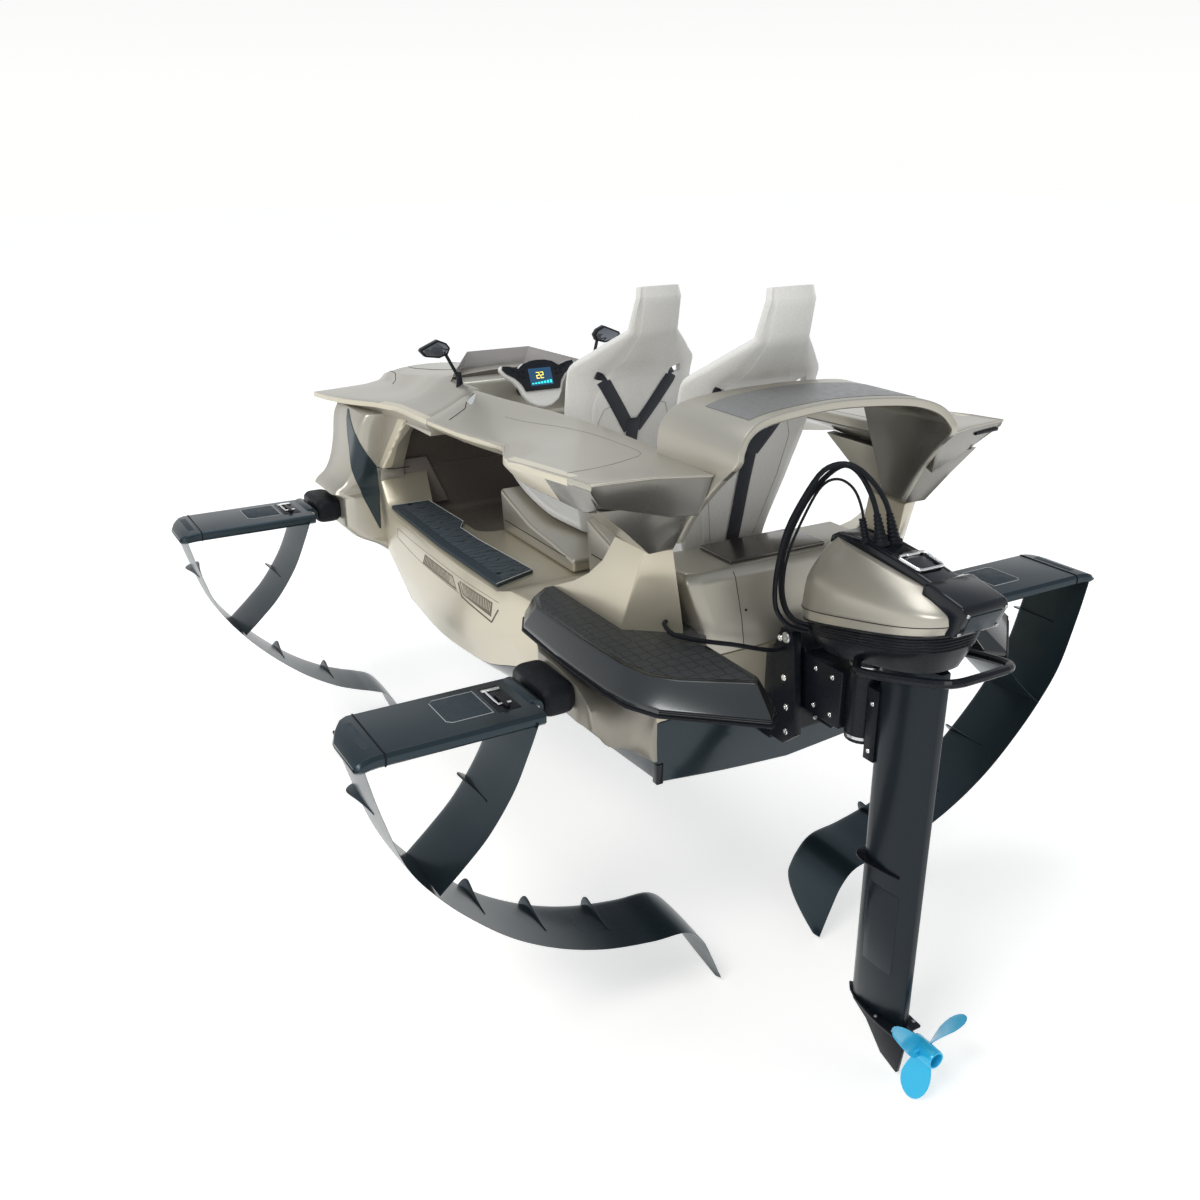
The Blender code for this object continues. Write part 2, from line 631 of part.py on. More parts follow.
# Seats: x and z down the back and along the pan, half width, half width of the flat middle, and
# how far the side flanges turn in toward the sitter
SEAT_BACK = ((-0.243, 1.018, 0.070, 0.060, 0.0), (-0.250, 0.985, 0.076, 0.064, 0.0),
             (-0.226, 0.880, 0.086, 0.070, 0.006), (-0.170, 0.800, 0.170, 0.110, 0.022),
             (-0.132, 0.750, 0.224, 0.158, 0.032), (-0.112, 0.640, 0.222, 0.156, 0.036),
             (-0.072, 0.480, 0.190, 0.132, 0.030), (-0.020, 0.260, 0.135, 0.090, 0.020))
SEAT_PAN = ((0.000, 0.200, 0.130, 0.090, 0.016), (0.150, 0.215, 0.180, 0.130, 0.030),
            (0.320, 0.265, 0.195, 0.145, 0.030), (0.440, 0.325, 0.190, 0.145, 0.018))
SHELL_THICKNESS = 0.022
HARNESS_LIFT = 0.0004
HARNESS_SLOT_Y = 0.130
WEB_HALF = 0.021
SEAT_BASE_HALF = 0.245


def seat(label, dx, dz):
    line = [(x + dx, z + dz, w, m, f) for x, z, w, m, f in SEAT_BACK + SEAT_PAN]
    rings = []
    for i, (x, z, wide, middle, flange) in enumerate(line):
        before = line[max(i - 1, 0)]
        after = line[min(i + 1, len(line) - 1)]
        along = Vector((after[0] - before[0], after[1] - before[1])).normalized()
        n = Vector((-along.y, along.x))
        back = Vector((x, z))
        edge = back + n * flange
        front = back + n * SHELL_THICKNESS
        lip = edge + n * SHELL_THICKNESS
        rings.append([(edge.x, -wide, edge.y), (back.x, -middle, back.y), (back.x, middle, back.y),
                      (edge.x, wide, edge.y), (lip.x, wide - 0.006, lip.y),
                      (front.x, middle - 0.004, front.y), (front.x, -middle + 0.004, front.y),
                      (lip.x, -wide + 0.006, lip.y)])
    return loft("seat_" + label, rings, SHELL)


def seat_base(label, dx, dz, low, tail):
    """Box under the pan; its top follows the pan's underside."""
    pan = [(0.38 + dx, 0.285 + dz - GAP)]
    for x, z, _, _, _ in reversed(SEAT_PAN[:3]):
        pan.append((x + dx, z + dz - GAP))
    profile = [(tail, low), (0.36 + dx, low)] + pan + [(tail, SEAT_PAN[0][1] + dz - GAP - 0.02)]
    return prism("seat_base_" + label, profile, -SEAT_BASE_HALF, SEAT_BASE_HALF, CHAMPAGNE, "y")


def harness(label, dx, dz):
    """Y of webbing on the back of the shell."""
    def spot(z, y, lift):
        rows = sorted(((b[1], b[0]) for b in SEAT_BACK))
        for (z0, x0), (z1, x1) in zip(rows, rows[1:]):
            if z0 <= z <= z1:
                x = x0 + (x1 - x0) * (z - z0) / (z1 - z0)
                return (x - lift + dx, y, z + dz)
        return (rows[0][1] - lift + dx, y, z + dz)
    half = WEB_HALF
    pieces = []
    levels = (0.740, 0.70, 0.66, 0.642, 0.62, 0.585, 0.565)
    for sign in (1, -1):
        rings = []
        for z in levels:
            y = sign * HARNESS_SLOT_Y * (z - levels[-1]) / (levels[0] - levels[-1])
            rings.append([spot(z, y - half, HARNESS_LIFT), spot(z, y + half, HARNESS_LIFT),
                          spot(z, y + half, 0.0034), spot(z, y - half, 0.0034)])
        pieces.append(loft("harness_" + label, rings, WEB))
    rings = []
    for z in (0.60, 0.54, 0.48, 0.40, 0.30, 0.265):
        rings.append([spot(z, -half * 1.05, HARNESS_LIFT), spot(z, half * 1.05, HARNESS_LIFT),
                      spot(z, half * 1.05, 0.0036), spot(z, -half * 1.05, 0.0036)])
    pieces.append(loft("harness_stem", rings, WEB))
    return union(*pieces)


# Helm

def helm():
    profile = [(0.665, 0.46), (0.70, 0.37), (0.86, 0.37), (0.86, 0.3996), (0.7597, 0.3996),
               (0.7597, 0.606), (0.70, 0.595)]
    box_obj = prism("dash", profile, -0.235, 0.235, CHAMPAGNE, "y")
    axis = Vector((-math.cos(YOKE_RAKE), 0, math.sin(YOKE_RAKE)))
    hub = Vector((YOKE_X, 0, YOKE_Z))
    start = hub - axis * 0.20
    column = cylinder("steering_column", start, hub - axis * (YOKE_HALF + GAP), 0.022, BLACK, 20)
    fit_against(column, box_obj)
    return box_obj, column


def yoke():
    """Grip to grip wheel with a black panel on the driver's side."""
    edge = [(0.145, 0.056), (0.150, 0.040), (0.138, 0.020), (0.108, -0.002), (0.088, -0.028),
            (0.078, -0.055), (0.060, -0.082), (0.030, -0.100)]
    crown = [(0.115, 0.052), (0.080, 0.040), (0.060, 0.056), (0.030, 0.064)]
    face = [(0.140, 0.052), (0.143, 0.040), (0.130, 0.024), (0.098, 0.004), (0.078, -0.020),
            (0.068, -0.046)]
    brow = [(0.112, 0.046), (0.080, 0.035)]
    wheel = edge + [(0.0, -0.106)] + [(-y, z) for y, z in reversed(edge)]
    wheel += [(-y, z) for y, z in crown] + [(0.0, 0.066)] + list(reversed(crown))
    plate = face + [(-y, z) for y, z in reversed(face)] + [(-y, z) for y, z in brow] + brow[::-1]
    frame_obj = prism("yoke", wheel, -YOKE_HALF, YOKE_HALF, SHELL, "x")
    panel = prism("yoke_panel", plate, -YOKE_HALF - 0.010, -YOKE_HALF - GAP, PANEL, "x")
    for obj in (frame_obj, panel):
        obj.data.transform(Matrix.Translation((YOKE_X, 0, YOKE_Z)) @ Matrix.Rotation(YOKE_RAKE, 4, "Y"))
        join_axis(obj, (YOKE_X, 0, YOKE_Z), "yoke_axis")
    return frame_obj, panel


# Three-pane screen from one side to the other: half beam, top x and z, foot x and z
SCREEN = (
    (-0.268, 0.690, 0.634, 0.735, 0.590),
    (-0.128, 0.883, 0.672, 0.935, 0.585),
    (0.128, 0.883, 0.672, 0.935, 0.585),
    (0.268, 0.690, 0.634, 0.735, 0.590),
)


def windscreen():
    rings = []
    for y, x1, z1, x0, z0 in SCREEN:
        rings.append([(x0, y, z0), (x1, y, z1), (x1 - 0.005, y, z1), (x0 - 0.005, y, z0)])
    return loft("windscreen", rings, GLASS)


def mirror(side_name, side):
    stalk = cylinder("mirror_" + side_name, (0.632, side * 0.270, 0.625), (0.662, side * 0.312, 0.722),
                     0.006, BLACK, 12)
    head = prism("head", [(0.292, 0.732), (0.305, 0.750), (0.335, 0.763), (0.398, 0.737),
                          (0.404, 0.729), (0.385, 0.708), (0.335, 0.700), (0.302, 0.710)],
                 0.650, 0.674, BLACK, "x", side)
    foot = cylinder("foot", (0.628, side * 0.272, 0.580), (0.633, side * 0.269, 0.650), 0.015, BLACK, 16,
                    0.007)
    return union(stalk, head, foot)


# Outboard

def transom_clamp():
    plate = box("transom_clamp", (-0.985, -0.095, -0.10), (TRANSOM_X - GAP, 0.095, 0.150), BLACK)
    parts = []
    for sign in (1, -1):
        cheek = [(-0.96, -0.09), (-0.96, 0.13), (-1.005, 0.235), (-1.045, 0.235), (-1.060, 0.20),
                 (-1.085, -0.05), (-1.04, -0.09)]
        y0, y1 = sorted((sign * 0.072, sign * 0.094))
        parts.append(prism("cheek", cheek, y0, y1, BLACK, "y"))
    return union(plate, *parts)


def swivel():
    """Arm that tilts between the cheeks and holds the steering tube."""
    head = box("swivel_bracket", (TILT_X - 0.022, -0.066, TILT_Z - 0.030),
               (TILT_X + 0.022, 0.066, TILT_Z + 0.020), BLACK)
    web = box("web", (-1.20, -0.050, 0.012), (TILT_X - 0.010, 0.050, 0.172), BLACK)
    neck = box("neck", (TILT_X - 0.022, -0.050, 0.10), (TILT_X + 0.015, 0.050, TILT_Z), BLACK)
    pivot = cylinder("pivot", (TILT_X, -0.0717, TILT_Z), (TILT_X, 0.0717, TILT_Z), 0.016, BLACK, 20)
    union(head, neck, pivot)
    tube_part = cylinder("steer_tube", (STEER_X, 0, STEER_TUBE_LOW_Z), (STEER_X, 0, STEER_TUBE_TOP_Z),
                         STEER_TUBE_RADIUS, BLACK, 24)
    union(head, web, tube_part)
    return join_axis(head, (TILT_X, 0, TILT_Z), "tilt_axis")


def oval_ring(x0, x1, half, z, slope, count=24):
    """Rounded plan outline from the front x0 to the rear x1 on a level that slopes aft."""
    mid = 0.5 * (x0 + x1)
    length = 0.5 * (x0 - x1)
    ring = []
    for i in range(count):
        t = 2 * math.pi * i / count
        c = math.cos(t)
        s = math.sin(t)
        px = mid + length * math.copysign(abs(c) ** 0.6, c)
        py = half * math.copysign(abs(s) ** 0.7, s)
        ring.append((px, py, z + slope * (COWL_MID_X - px)))
    return ring


# Rings of both cowls: front x, rear x, half beam, z at the middle, slope
COWL_MID_X = -1.30
LOWER_RINGS = ((-1.118, -1.490, 0.082, 0.245, 0.20), (-1.078, -1.512, 0.108, 0.292, 0.22),
               (-1.066, -1.528, 0.118, 0.3422, 0.24))
COWL_RINGS = ((-1.052, -1.540, 0.126, 0.3430, 0.24), (-1.045, -1.552, 0.133, 0.371, 0.22),
              (-1.052, -1.548, 0.128, 0.415, 0.12), (-1.080, -1.505, 0.100, 0.462, 0.02),
              (-1.118, -1.450, 0.064, 0.496, -0.11))


def motor_lower():
    obj = loft("motor_lower_cowl", [oval_ring(*row) for row in LOWER_RINGS], BLACK)
    return join_axis(obj, (STEER_X, 0, TILT_Z), "steer_axis")


def motor_cowl():
    obj = loft("motor_cowl", [oval_ring(*row) for row in COWL_RINGS], CHAMPAGNE)
    return join_axis(obj, (STEER_X, 0, TILT_Z), "steer_axis")


def motor_spine(cowl):
    """Black strip along the cowl's top that ends in a block over its rear."""
    profile = [(-1.108, 0.490), (-1.112, 0.512), (-1.135, 0.524), (-1.250, 0.528), (-1.360, 0.515),
               (-1.455, 0.496), (-1.500, 0.480), (-1.500, 0.440)]
    obj = prism("motor_spine", profile, -0.046, 0.046, BLACK, "y")
    block = prism("block", [(-1.440, 0.430), (-1.450, 0.497), (-1.470, 0.503), (-1.572, 0.480),
                            (-1.582, 0.466), (-1.556, 0.402), (-1.500, 0.395)], -0.068, 0.068,
                  BLACK, "y")
    union(obj, block)
    fit_against(obj, cowl)
    return join_axis(obj, (STEER_X, 0, TILT_Z), "steer_axis")


def as_mesh(obj):
    """Turns a tube's curve into a mesh, so that it can be cut."""
    graph = bpy.context.evaluated_depsgraph_get()
    mesh = bpy.data.meshes.new_from_object(obj.evaluated_get(graph))
    name = obj.name
    mat = obj.data.materials[0]
    bpy.data.objects.remove(obj, do_unlink=True)
    out = bpy.data.objects.new(name, mesh)
    bpy.context.scene.collection.objects.link(out)
    if not mesh.materials:
        mesh.materials.append(mat)
    return out


def motor_handle(lower):
    half = ((-1.275, 0.070, 0.262), (-1.305, 0.105, 0.250), (-1.345, 0.132, 0.254),
            (-1.450, 0.130, 0.280), (-1.560, 0.108, 0.306), (-1.594, 0.080, 0.314),
            (-1.600, 0.030, 0.316))
    points = half + tuple((x, -y, z) for x, y, z in reversed(half))
    obj = as_mesh(tube("motor_handle", points, 0.011, BLACK, 3))
    fit_against(obj, lower)
    return join_axis(obj, (STEER_X, 0, TILT_Z), "steer_axis")


def leg(lower):
    def section(z, x0, x1, half):
        chord = x0 - x1
        ring = []
        for t, h in ((0.0, 0.0), (0.06, 0.55), (0.22, 1.0), (0.55, 1.0), (1.0, 0.35),
                     (1.0, -0.35), (0.55, -1.0), (0.22, -1.0), (0.06, -0.55)):
            ring.append((x0 - chord * t, half * h, z))
        return ring
    column = loft("leg", [section(-0.745, -1.298, -1.492, 0.030), section(0.02, -1.296, -1.490, 0.036),
                          section(LEG_TOP_Z, -1.294, -1.490, 0.040)], BLACK)
    fit_against(column, lower)
    return join_axis(column, (STEER_X, 0, TILT_Z), "steer_axis")


def steering_arm(column):
    """Bearing block that wraps the front of the leg."""
    collar = box("steer_collar", (-1.318, -0.036, -0.032), (-1.2815, 0.036, 0.165), BLACK)
    fit_against(collar, column)
    return join_axis(collar, (STEER_X, 0, TILT_Z), "steer_axis")


def gearcase():
    body = cylinder("gearcase", (-1.36, 0, PROP_Z), (PROP_X + 0.012, 0, PROP_Z), 0.012, BLACK, 20, 0.0155)
    profile = [(-1.287, -0.7455), (-1.300, -0.785), (-1.356, -0.814), (-1.420, -0.880),
               (-1.485, -0.900), (-1.500, -0.790), (-1.496, -0.7455)]
    skeg = prism("skeg", profile, -0.008, 0.008, BLACK, "y")
    plate = prism("plate", [(-1.275, 0.0), (-1.32, 0.030), (-1.45, 0.048), (-1.505, 0.045),
                            (-1.505, -0.045), (-1.45, -0.048), (-1.32, -0.030)], -0.7545, -0.7455,
                  BLACK)
    obj = union(body, skeg, plate)
    return join_axis(obj, (STEER_X, 0, TILT_Z), "steer_axis")


def propeller():
    hub = cylinder("propeller", (PROP_X + 0.012 - GAP, 0, PROP_Z), (PROP_X - 0.072, 0, PROP_Z), 0.026,
                   CYAN, 24)
    blades = []
    for k in range(3):
        turn = 2 * math.pi * k / 3 + PROP_TURN
        rings = []
        for r, chord, pitch in ((0.018, 0.040, 60), (0.045, 0.062, 48), (0.085, 0.076, 34),
                                (0.122, 0.064, 26), (0.148, 0.022, 22)):
            a = -math.radians(pitch)
            along = Vector((math.cos(a), math.sin(a)))
            thick = Vector((-math.sin(a), math.cos(a))) * 0.0022
            ring = []
            for c, h in ((-0.5, 0), (-0.2, 1), (0.2, 1), (0.5, 0), (0.2, -1), (-0.2, -1)):
                dx = along.x * chord * c + thick.x * h - 0.010
                dy = along.y * chord * c + thick.y * h
                ring.append((PROP_X - 0.015 + dx,
                             dy * math.cos(turn) - r * math.sin(turn),
                             PROP_Z + dy * math.sin(turn) + r * math.cos(turn)))
            rings.append(ring)
        blades.append(loft("blade", rings, CYAN))
    union(hub, *blades)
    return join_axis(hub, (PROP_X, 0, PROP_Z), "propeller_axis")


# Routes of the flexible leads, from the spine's strain reliefs over to the lower cowl
LEAD_A = ((-1.258, 0.018, 0.5300), (-1.238, 0.022, 0.600), (-1.218, 0.028, 0.644),
          (-1.189, 0.042, 0.686), (-1.158, 0.058, 0.699), (-1.123, 0.075, 0.672),
          (-1.081, 0.092, 0.613), (-1.047, 0.108, 0.533), (-1.026, 0.118, 0.456),
          (-1.024, 0.122, 0.382), (-1.033, 0.122, 0.330), (-1.052, 0.115, 0.292),
          (-1.080, 0.098, 0.270), (-1.1010, 0.0820, 0.266))
LEAD_B = ((-1.262, -0.018, 0.5300), (-1.250, -0.006, 0.600), (-1.234, 0.010, 0.644),
          (-1.209, 0.036, 0.684), (-1.180, 0.062, 0.706), (-1.148, 0.086, 0.700),
          (-1.122, 0.106, 0.672), (-1.090, 0.128, 0.600), (-1.066, 0.146, 0.526),
          (-1.056, 0.158, 0.445), (-1.050, 0.160, 0.372), (-1.042, 0.146, 0.310),
          (-1.046, 0.118, 0.268), (-1.060, 0.092, 0.250), (-1.0860, 0.0700, 0.248))
LEAD_C = ((-1.222, 0.034, 0.5282), (-1.208, 0.040, 0.600), (-1.186, 0.052, 0.648),
          (-1.148, 0.068, 0.664), (-1.112, 0.086, 0.640), (-1.078, 0.102, 0.564),
          (-1.054, 0.126, 0.462), (-1.050, 0.134, 0.380), (-1.062, 0.132, 0.325),
          (-1.080, 0.122, 0.296), (-1.098, 0.108, 0.286), (-1.1150, 0.0950, 0.284))


def motor_leads():
    for name, route, radius, steps in (("power_cable_a", LEAD_A, 0.0065, 3),
                                       ("power_cable_b", LEAD_B, 0.0065, 3),
                                       ("signal_cable", LEAD_C, 0.0035, 5)):
        join_axis(tube(name, route, radius, RUBBER, steps), (STEER_X, 0, TILT_Z), "steer_axis")


def steering_cable():
    points = ((-0.9012, 0.3864, 0.2740), (-0.918, 0.4014, 0.2740), (-0.958, 0.400, 0.262),
              (-1.005, 0.350, 0.252), (-1.035, 0.270, 0.235), (-1.032, 0.190, 0.205), (-1.020, 0.130, 0.182),
              (-1.020, 0.0946, 0.180))
    return tube("steering_cable", points, 0.006, RUBBER, 3)


bottom = hull_bottom()
shell = hull_shell()
bow = bow_deck()
arch = rear_arch()
wing = wing_deck()
bracket = fit_against(wing_bracket(), arch, wing)
other_side(wing)
other_side(bracket)
for side_label, side_sign in SIDES:
    quarter(side_label, side_sign)
    fit_against(front_mount(side_label, side_sign), shell, bottom, bow)
    fit_against(rear_mount(side_label, side_sign), shell, bottom)
    step_pad(side_label, side_sign)
    platform(side_label, side_sign)
    fit_against(mirror(side_label, side_sign), bow)
for foil_label, foil_x, foil_side in foil_stations():
    boot(foil_label, foil_x, foil_side)
    foil(foil_label, foil_x, foil_side)
locker()
for seat_label, seat_dx, seat_dz in (("front", 0.0, 0.0), ("rear", SEAT_PITCH_X, SEAT_RISE_Z)):
    seat(seat_label, seat_dx, seat_dz)
    harness(seat_label, seat_dx, seat_dz)
seat_base("front", 0.0, 0.0, SILL_Z + GAP, -0.15)
seat_base("rear", SEAT_PITCH_X, SEAT_RISE_Z, STERN_DECK_Z + GAP, LOCKER_FRONT_X + GAP)
helm()
yoke()
fit_against(windscreen(), bow)
transom_clamp()
swivel()
lower_cowl = motor_lower()
motor_spine(motor_cowl())
motor_handle(lower_cowl)
steering_arm(leg(lower_cowl))
gearcase()
propeller()
motor_leads()
steering_cable()
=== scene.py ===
"""Looks of the two-seat hydrofoil boat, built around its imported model.

Bow +X, port +Y, up +Z, in metres, with the origin on the centreline at the
waterline. The moulded skins, seats, foils and motor covers are rebuilt here as
smooth meshes in the places of their plain solids.
"""
import json
import math

import bmesh
import bpy
import numpy as np
from mathutils import Matrix, Vector
from mathutils.bvhtree import BVHTree

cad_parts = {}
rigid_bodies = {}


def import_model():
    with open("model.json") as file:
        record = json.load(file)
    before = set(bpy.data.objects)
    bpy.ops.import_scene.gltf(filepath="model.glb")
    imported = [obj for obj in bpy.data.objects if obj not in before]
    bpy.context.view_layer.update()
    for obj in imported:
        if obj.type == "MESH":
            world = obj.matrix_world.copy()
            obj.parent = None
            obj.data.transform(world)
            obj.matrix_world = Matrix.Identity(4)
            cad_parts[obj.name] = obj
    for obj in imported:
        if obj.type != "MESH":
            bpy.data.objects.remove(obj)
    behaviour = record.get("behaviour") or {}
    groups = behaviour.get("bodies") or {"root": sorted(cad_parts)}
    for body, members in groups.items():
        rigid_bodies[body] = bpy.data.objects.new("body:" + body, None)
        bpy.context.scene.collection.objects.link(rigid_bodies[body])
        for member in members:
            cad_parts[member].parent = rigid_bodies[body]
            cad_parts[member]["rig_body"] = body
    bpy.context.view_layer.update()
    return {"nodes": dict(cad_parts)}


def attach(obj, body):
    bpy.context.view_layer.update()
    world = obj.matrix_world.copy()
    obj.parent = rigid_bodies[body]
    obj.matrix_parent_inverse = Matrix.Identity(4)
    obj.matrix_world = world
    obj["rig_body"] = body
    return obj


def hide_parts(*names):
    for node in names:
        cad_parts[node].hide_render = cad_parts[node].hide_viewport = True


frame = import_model()
NODES = frame["nodes"]
SIDES = (("port", 1.0), ("starboard", -1.0))
SIGNS = (1.0, -1.0)
DOWN = (0, 0, -1)

# Camera fitted to the photograph, and studio

CAMERA_PLACE = (-3.192, 1.902, 1.421)
CAMERA_YAW = math.radians(-29.99)
CAMERA_PITCH = math.radians(21.65)
CAMERA_LENS = 35.0
SENSOR_WIDTH = 36.0
FLOOR_Z = -0.918
FLOOR_HALF = 40.0
# Pale enough to meet the horizon without an edge
FLOOR_LOOK = {"Base Color": (0.92, 0.905, 0.885, 1.0), "Emission Color": (1.0, 1.0, 0.98, 1.0),
              "Emission Strength": 0.46, "Roughness": 0.65}
# Area lights that aim at the origin: name, place, size, watts, colour
LIGHTS = (("key", (-3.0, 5.0, 5.5), (3.0, 2.0), 190, (1.0, 0.98, 0.94)),
          ("top", (0.6, 0.0, 6.0), (4.0, 2.0), 90, (1.0, 1.0, 1.0)))
# Sky from the horizon to overhead: share of the height, colour
SKY = ((0.52, (1.0, 1.0, 0.99, 1.0)), (0.80, (0.50, 0.53, 0.57, 1.0)))


def placed(name, data):
    """New object of some data, linked into the scene."""
    obj = bpy.data.objects.new(name, data)
    bpy.context.scene.collection.objects.link(obj)
    return obj


def camera():
    data = bpy.data.cameras.new("camera")
    data.lens = CAMERA_LENS
    data.sensor_width = SENSOR_WIDTH
    obj = placed("camera", data)
    forward = Vector((math.cos(CAMERA_YAW) * math.cos(CAMERA_PITCH),
                      math.sin(CAMERA_YAW) * math.cos(CAMERA_PITCH), -math.sin(CAMERA_PITCH)))
    obj.rotation_euler = forward.to_track_quat("-Z", "Y").to_euler()
    obj.location = CAMERA_PLACE
    bpy.context.scene.camera = obj


def sky():
    world = bpy.data.worlds.new("studio")
    world.use_nodes = True
    tree = world.node_tree
    background = tree.nodes["Background"]
    place = tree.nodes.new("ShaderNodeTexCoord")
    split = tree.nodes.new("ShaderNodeSeparateXYZ")
    scale = tree.nodes.new("ShaderNodeMapRange")
    scale.inputs["From Min"].default_value = -1.0
    ramp = tree.nodes.new("ShaderNodeValToRGB")
    for element, (share, colour) in zip(ramp.color_ramp.elements, SKY):
        element.position = share
        element.color = colour
    tree.links.new(place.outputs["Generated"], split.inputs[0])
    tree.links.new(split.outputs["Z"], scale.inputs["Value"])
    tree.links.new(scale.outputs["Result"], ramp.inputs["Fac"])
    tree.links.new(ramp.outputs["Color"], background.inputs["Color"])
    bpy.context.scene.world = world
    bpy.context.scene.view_settings.view_transform = "Standard"


def studio():
    sky()
    for name, place, size, watts, colour in LIGHTS:
        data = bpy.data.lights.new(name, "AREA")
        data.shape = "RECTANGLE"
        data.size, data.size_y = size
        data.energy = watts
        data.color = colour
        obj = placed(name, data)
        obj.location = place
        obj.rotation_euler = (-Vector(place)).to_track_quat("-Z", "Y").to_euler()
    s = FLOOR_HALF
    corners = [(x, y, FLOOR_Z) for x, y in ((-s, -s), (s, -s), (s, s), (-s, s))]
    floor = make_mesh("floor", corners, [(0, 1, 2, 3)])
    mat = bpy.data.materials.new("floor")
    mat.use_nodes = True
    for key, value in FLOOR_LOOK.items():
        mat.node_tree.nodes["Principled BSDF"].inputs[key].default_value = value
    floor.data.materials.append(mat)


# Materials: every one has its own grain, fleck or moulded pattern

class Nodes:
    """Short way to add nodes to a material's tree and link them."""

    def __init__(self, name):
        self.mat = bpy.data.materials.new(name)
        self.mat.use_nodes = True
        self.tree = self.mat.node_tree
        self.shader = self.tree.nodes["Principled BSDF"]
        self.place = self.add("ShaderNodeTexCoord").outputs["Object"]

    def add(self, kind, sockets=(), **settings):
        node = self.tree.nodes.new(kind)
        for key, value in settings.items():
            setattr(node, key, value)
        for key, value in sockets:
            node.inputs[key].default_value = value
        return node

    def join(self, out, socket):
        self.tree.links.new(out, socket)

    def fixed(self, **values):
        for key, value in values.items():
            self.shader.inputs[key.replace("_", " ")].default_value = value

    def stretched(self, factors):
        mapping = self.add("ShaderNodeMapping", [("Scale", factors)])
        self.join(self.place, mapping.inputs["Vector"])
        return mapping.outputs["Vector"]

    def texture(self, kind, sockets, out, vector=None, **settings):
        node = self.add(kind, sockets, **settings)
        self.join(vector or self.place, node.inputs["Vector"])
        return node.outputs[out]

    def noise(self, scale, detail=3.0, vector=None):
        sockets = [("Scale", scale), ("Detail", detail)]
        return self.texture("ShaderNodeTexNoise", sockets, "Fac", vector)

    def spread(self, value, low, high, start=0.3, stop=0.7):
        node = self.add("ShaderNodeMapRange", [("From Min", start), ("From Max", stop),
                                               ("To Min", low), ("To Max", high)])
        self.join(value, node.inputs["Value"])
        return node.outputs["Result"]

    def colours(self, value, first, second, start=0.3, stop=0.7):
        ramp = self.add("ShaderNodeValToRGB")
        for element, place, colour in zip(ramp.color_ramp.elements, (start, stop), (first, second)):
            element.position = place
            element.color = (*colour, 1.0)
        self.join(value, ramp.inputs["Fac"])
        self.join(ramp.outputs["Color"], self.shader.inputs["Base Color"])

    def rough(self, value, low, high):
        self.join(self.spread(value, low, high), self.shader.inputs["Roughness"])

    def bump(self, height, strength, distance):
        node = self.add("ShaderNodeBump", [("Strength", strength), ("Distance", distance)])
        self.join(height, node.inputs["Height"])
        self.join(node.outputs["Normal"], self.shader.inputs["Normal"])

    def total(self, first, second, share):
        node = self.add("ShaderNodeMath", operation="MULTIPLY_ADD")
        self.join(second, node.inputs[0])
        node.inputs[1].default_value = share
        self.join(first, node.inputs[2])
        return node.outputs[0]


def paint(name, first, second, metallic, low, high, coat):
    """Metallic lacquer with fine flake under a clear coat."""
    n = Nodes(name)
    n.colours(n.noise(900.0, 1.0), first, second)
    n.rough(n.noise(3.0, 1.0), low, high)
    n.fixed(Metallic=metallic, Coat_Weight=coat, Coat_Roughness=0.12, Specular_IOR_Level=0.25)
    return n.mat


def moulded(name, first, second, low, high, grain, strength):
    """Moulded plastic, casting or rubber with a fine grain."""
    n = Nodes(name)
    n.colours(n.noise(160.0, 2.0), first, second)
    n.rough(n.noise(40.0, 3.0), low, high)
    n.bump(n.noise(grain, 3.0), strength, 0.0006)
    n.fixed(Specular_IOR_Level=0.18)
    return n.mat


def metal(name, colour, low, high):
    """Bright metal with fine drawn marks."""
    n = Nodes(name)
    marks = n.noise(60.0, 4.0, n.stretched((1.0, 14.0, 1.0)))
    n.rough(marks, low, high)
    n.bump(marks, 0.04, 0.0004)
    n.fixed(Base_Color=(*colour, 1.0), Metallic=1.0)
    return n.mat


def wavy_grip():
    """Foam pad with wavy grooves across it."""
    n = Nodes("step_grip")
    wave = n.texture("ShaderNodeTexWave", [("Scale", 11.0), ("Distortion", 4.0), ("Detail", 0.0),
                                           ("Detail Scale", 2.6)],
                     "Fac", bands_direction="X", wave_profile="SIN")
    grooves = n.spread(wave, 0.0, 1.0, 0.02, 0.30)
    n.colours(grooves, (0.012, 0.018, 0.024), (0.040, 0.056, 0.068), 0.0, 1.0)
    n.rough(n.noise(220.0), 0.62, 0.8)
    n.bump(n.total(grooves, n.noise(900.0), 0.12), 0.6, 0.0016)
    return n.mat


def cell_grip():
    """Moulded pad with a net of cells."""
    n = Nodes("deck_grip")
    net = n.texture("ShaderNodeTexVoronoi", [("Scale", 30.0), ("Randomness", 0.25)], "Distance",
                    n.stretched((1.0, 1.0, 0.05)), feature="DISTANCE_TO_EDGE")
    faces = n.spread(net, 0.0, 1.0, 0.03, 0.09)
    n.colours(faces, (0.010, 0.012, 0.015), (0.034, 0.038, 0.041), 0.0, 1.0)
    n.rough(n.noise(300.0), 0.40, 0.62)
    n.bump(n.total(faces, n.noise(1100.0), 0.10), 0.5, 0.0012)
    return n.mat


def dotted_grip():
    """Moulded pad with rows of small raised dots."""
    n = Nodes("arch_grip")
    dots = n.texture("ShaderNodeTexVoronoi", [("Scale", 110.0), ("Randomness", 0.0)], "Distance",
                     n.stretched((1.0, 1.0, 0.02)), feature="F1")
    domes = n.spread(dots, 1.0, 0.0, 0.22, 0.34)
    n.colours(domes, (0.19, 0.195, 0.195), (0.29, 0.295, 0.29), 0.0, 1.0)
    n.rough(n.noise(60.0), 0.32, 0.46)
    n.bump(domes, 0.6, 0.0012)
    n.fixed(Metallic=0.3)
    return n.mat


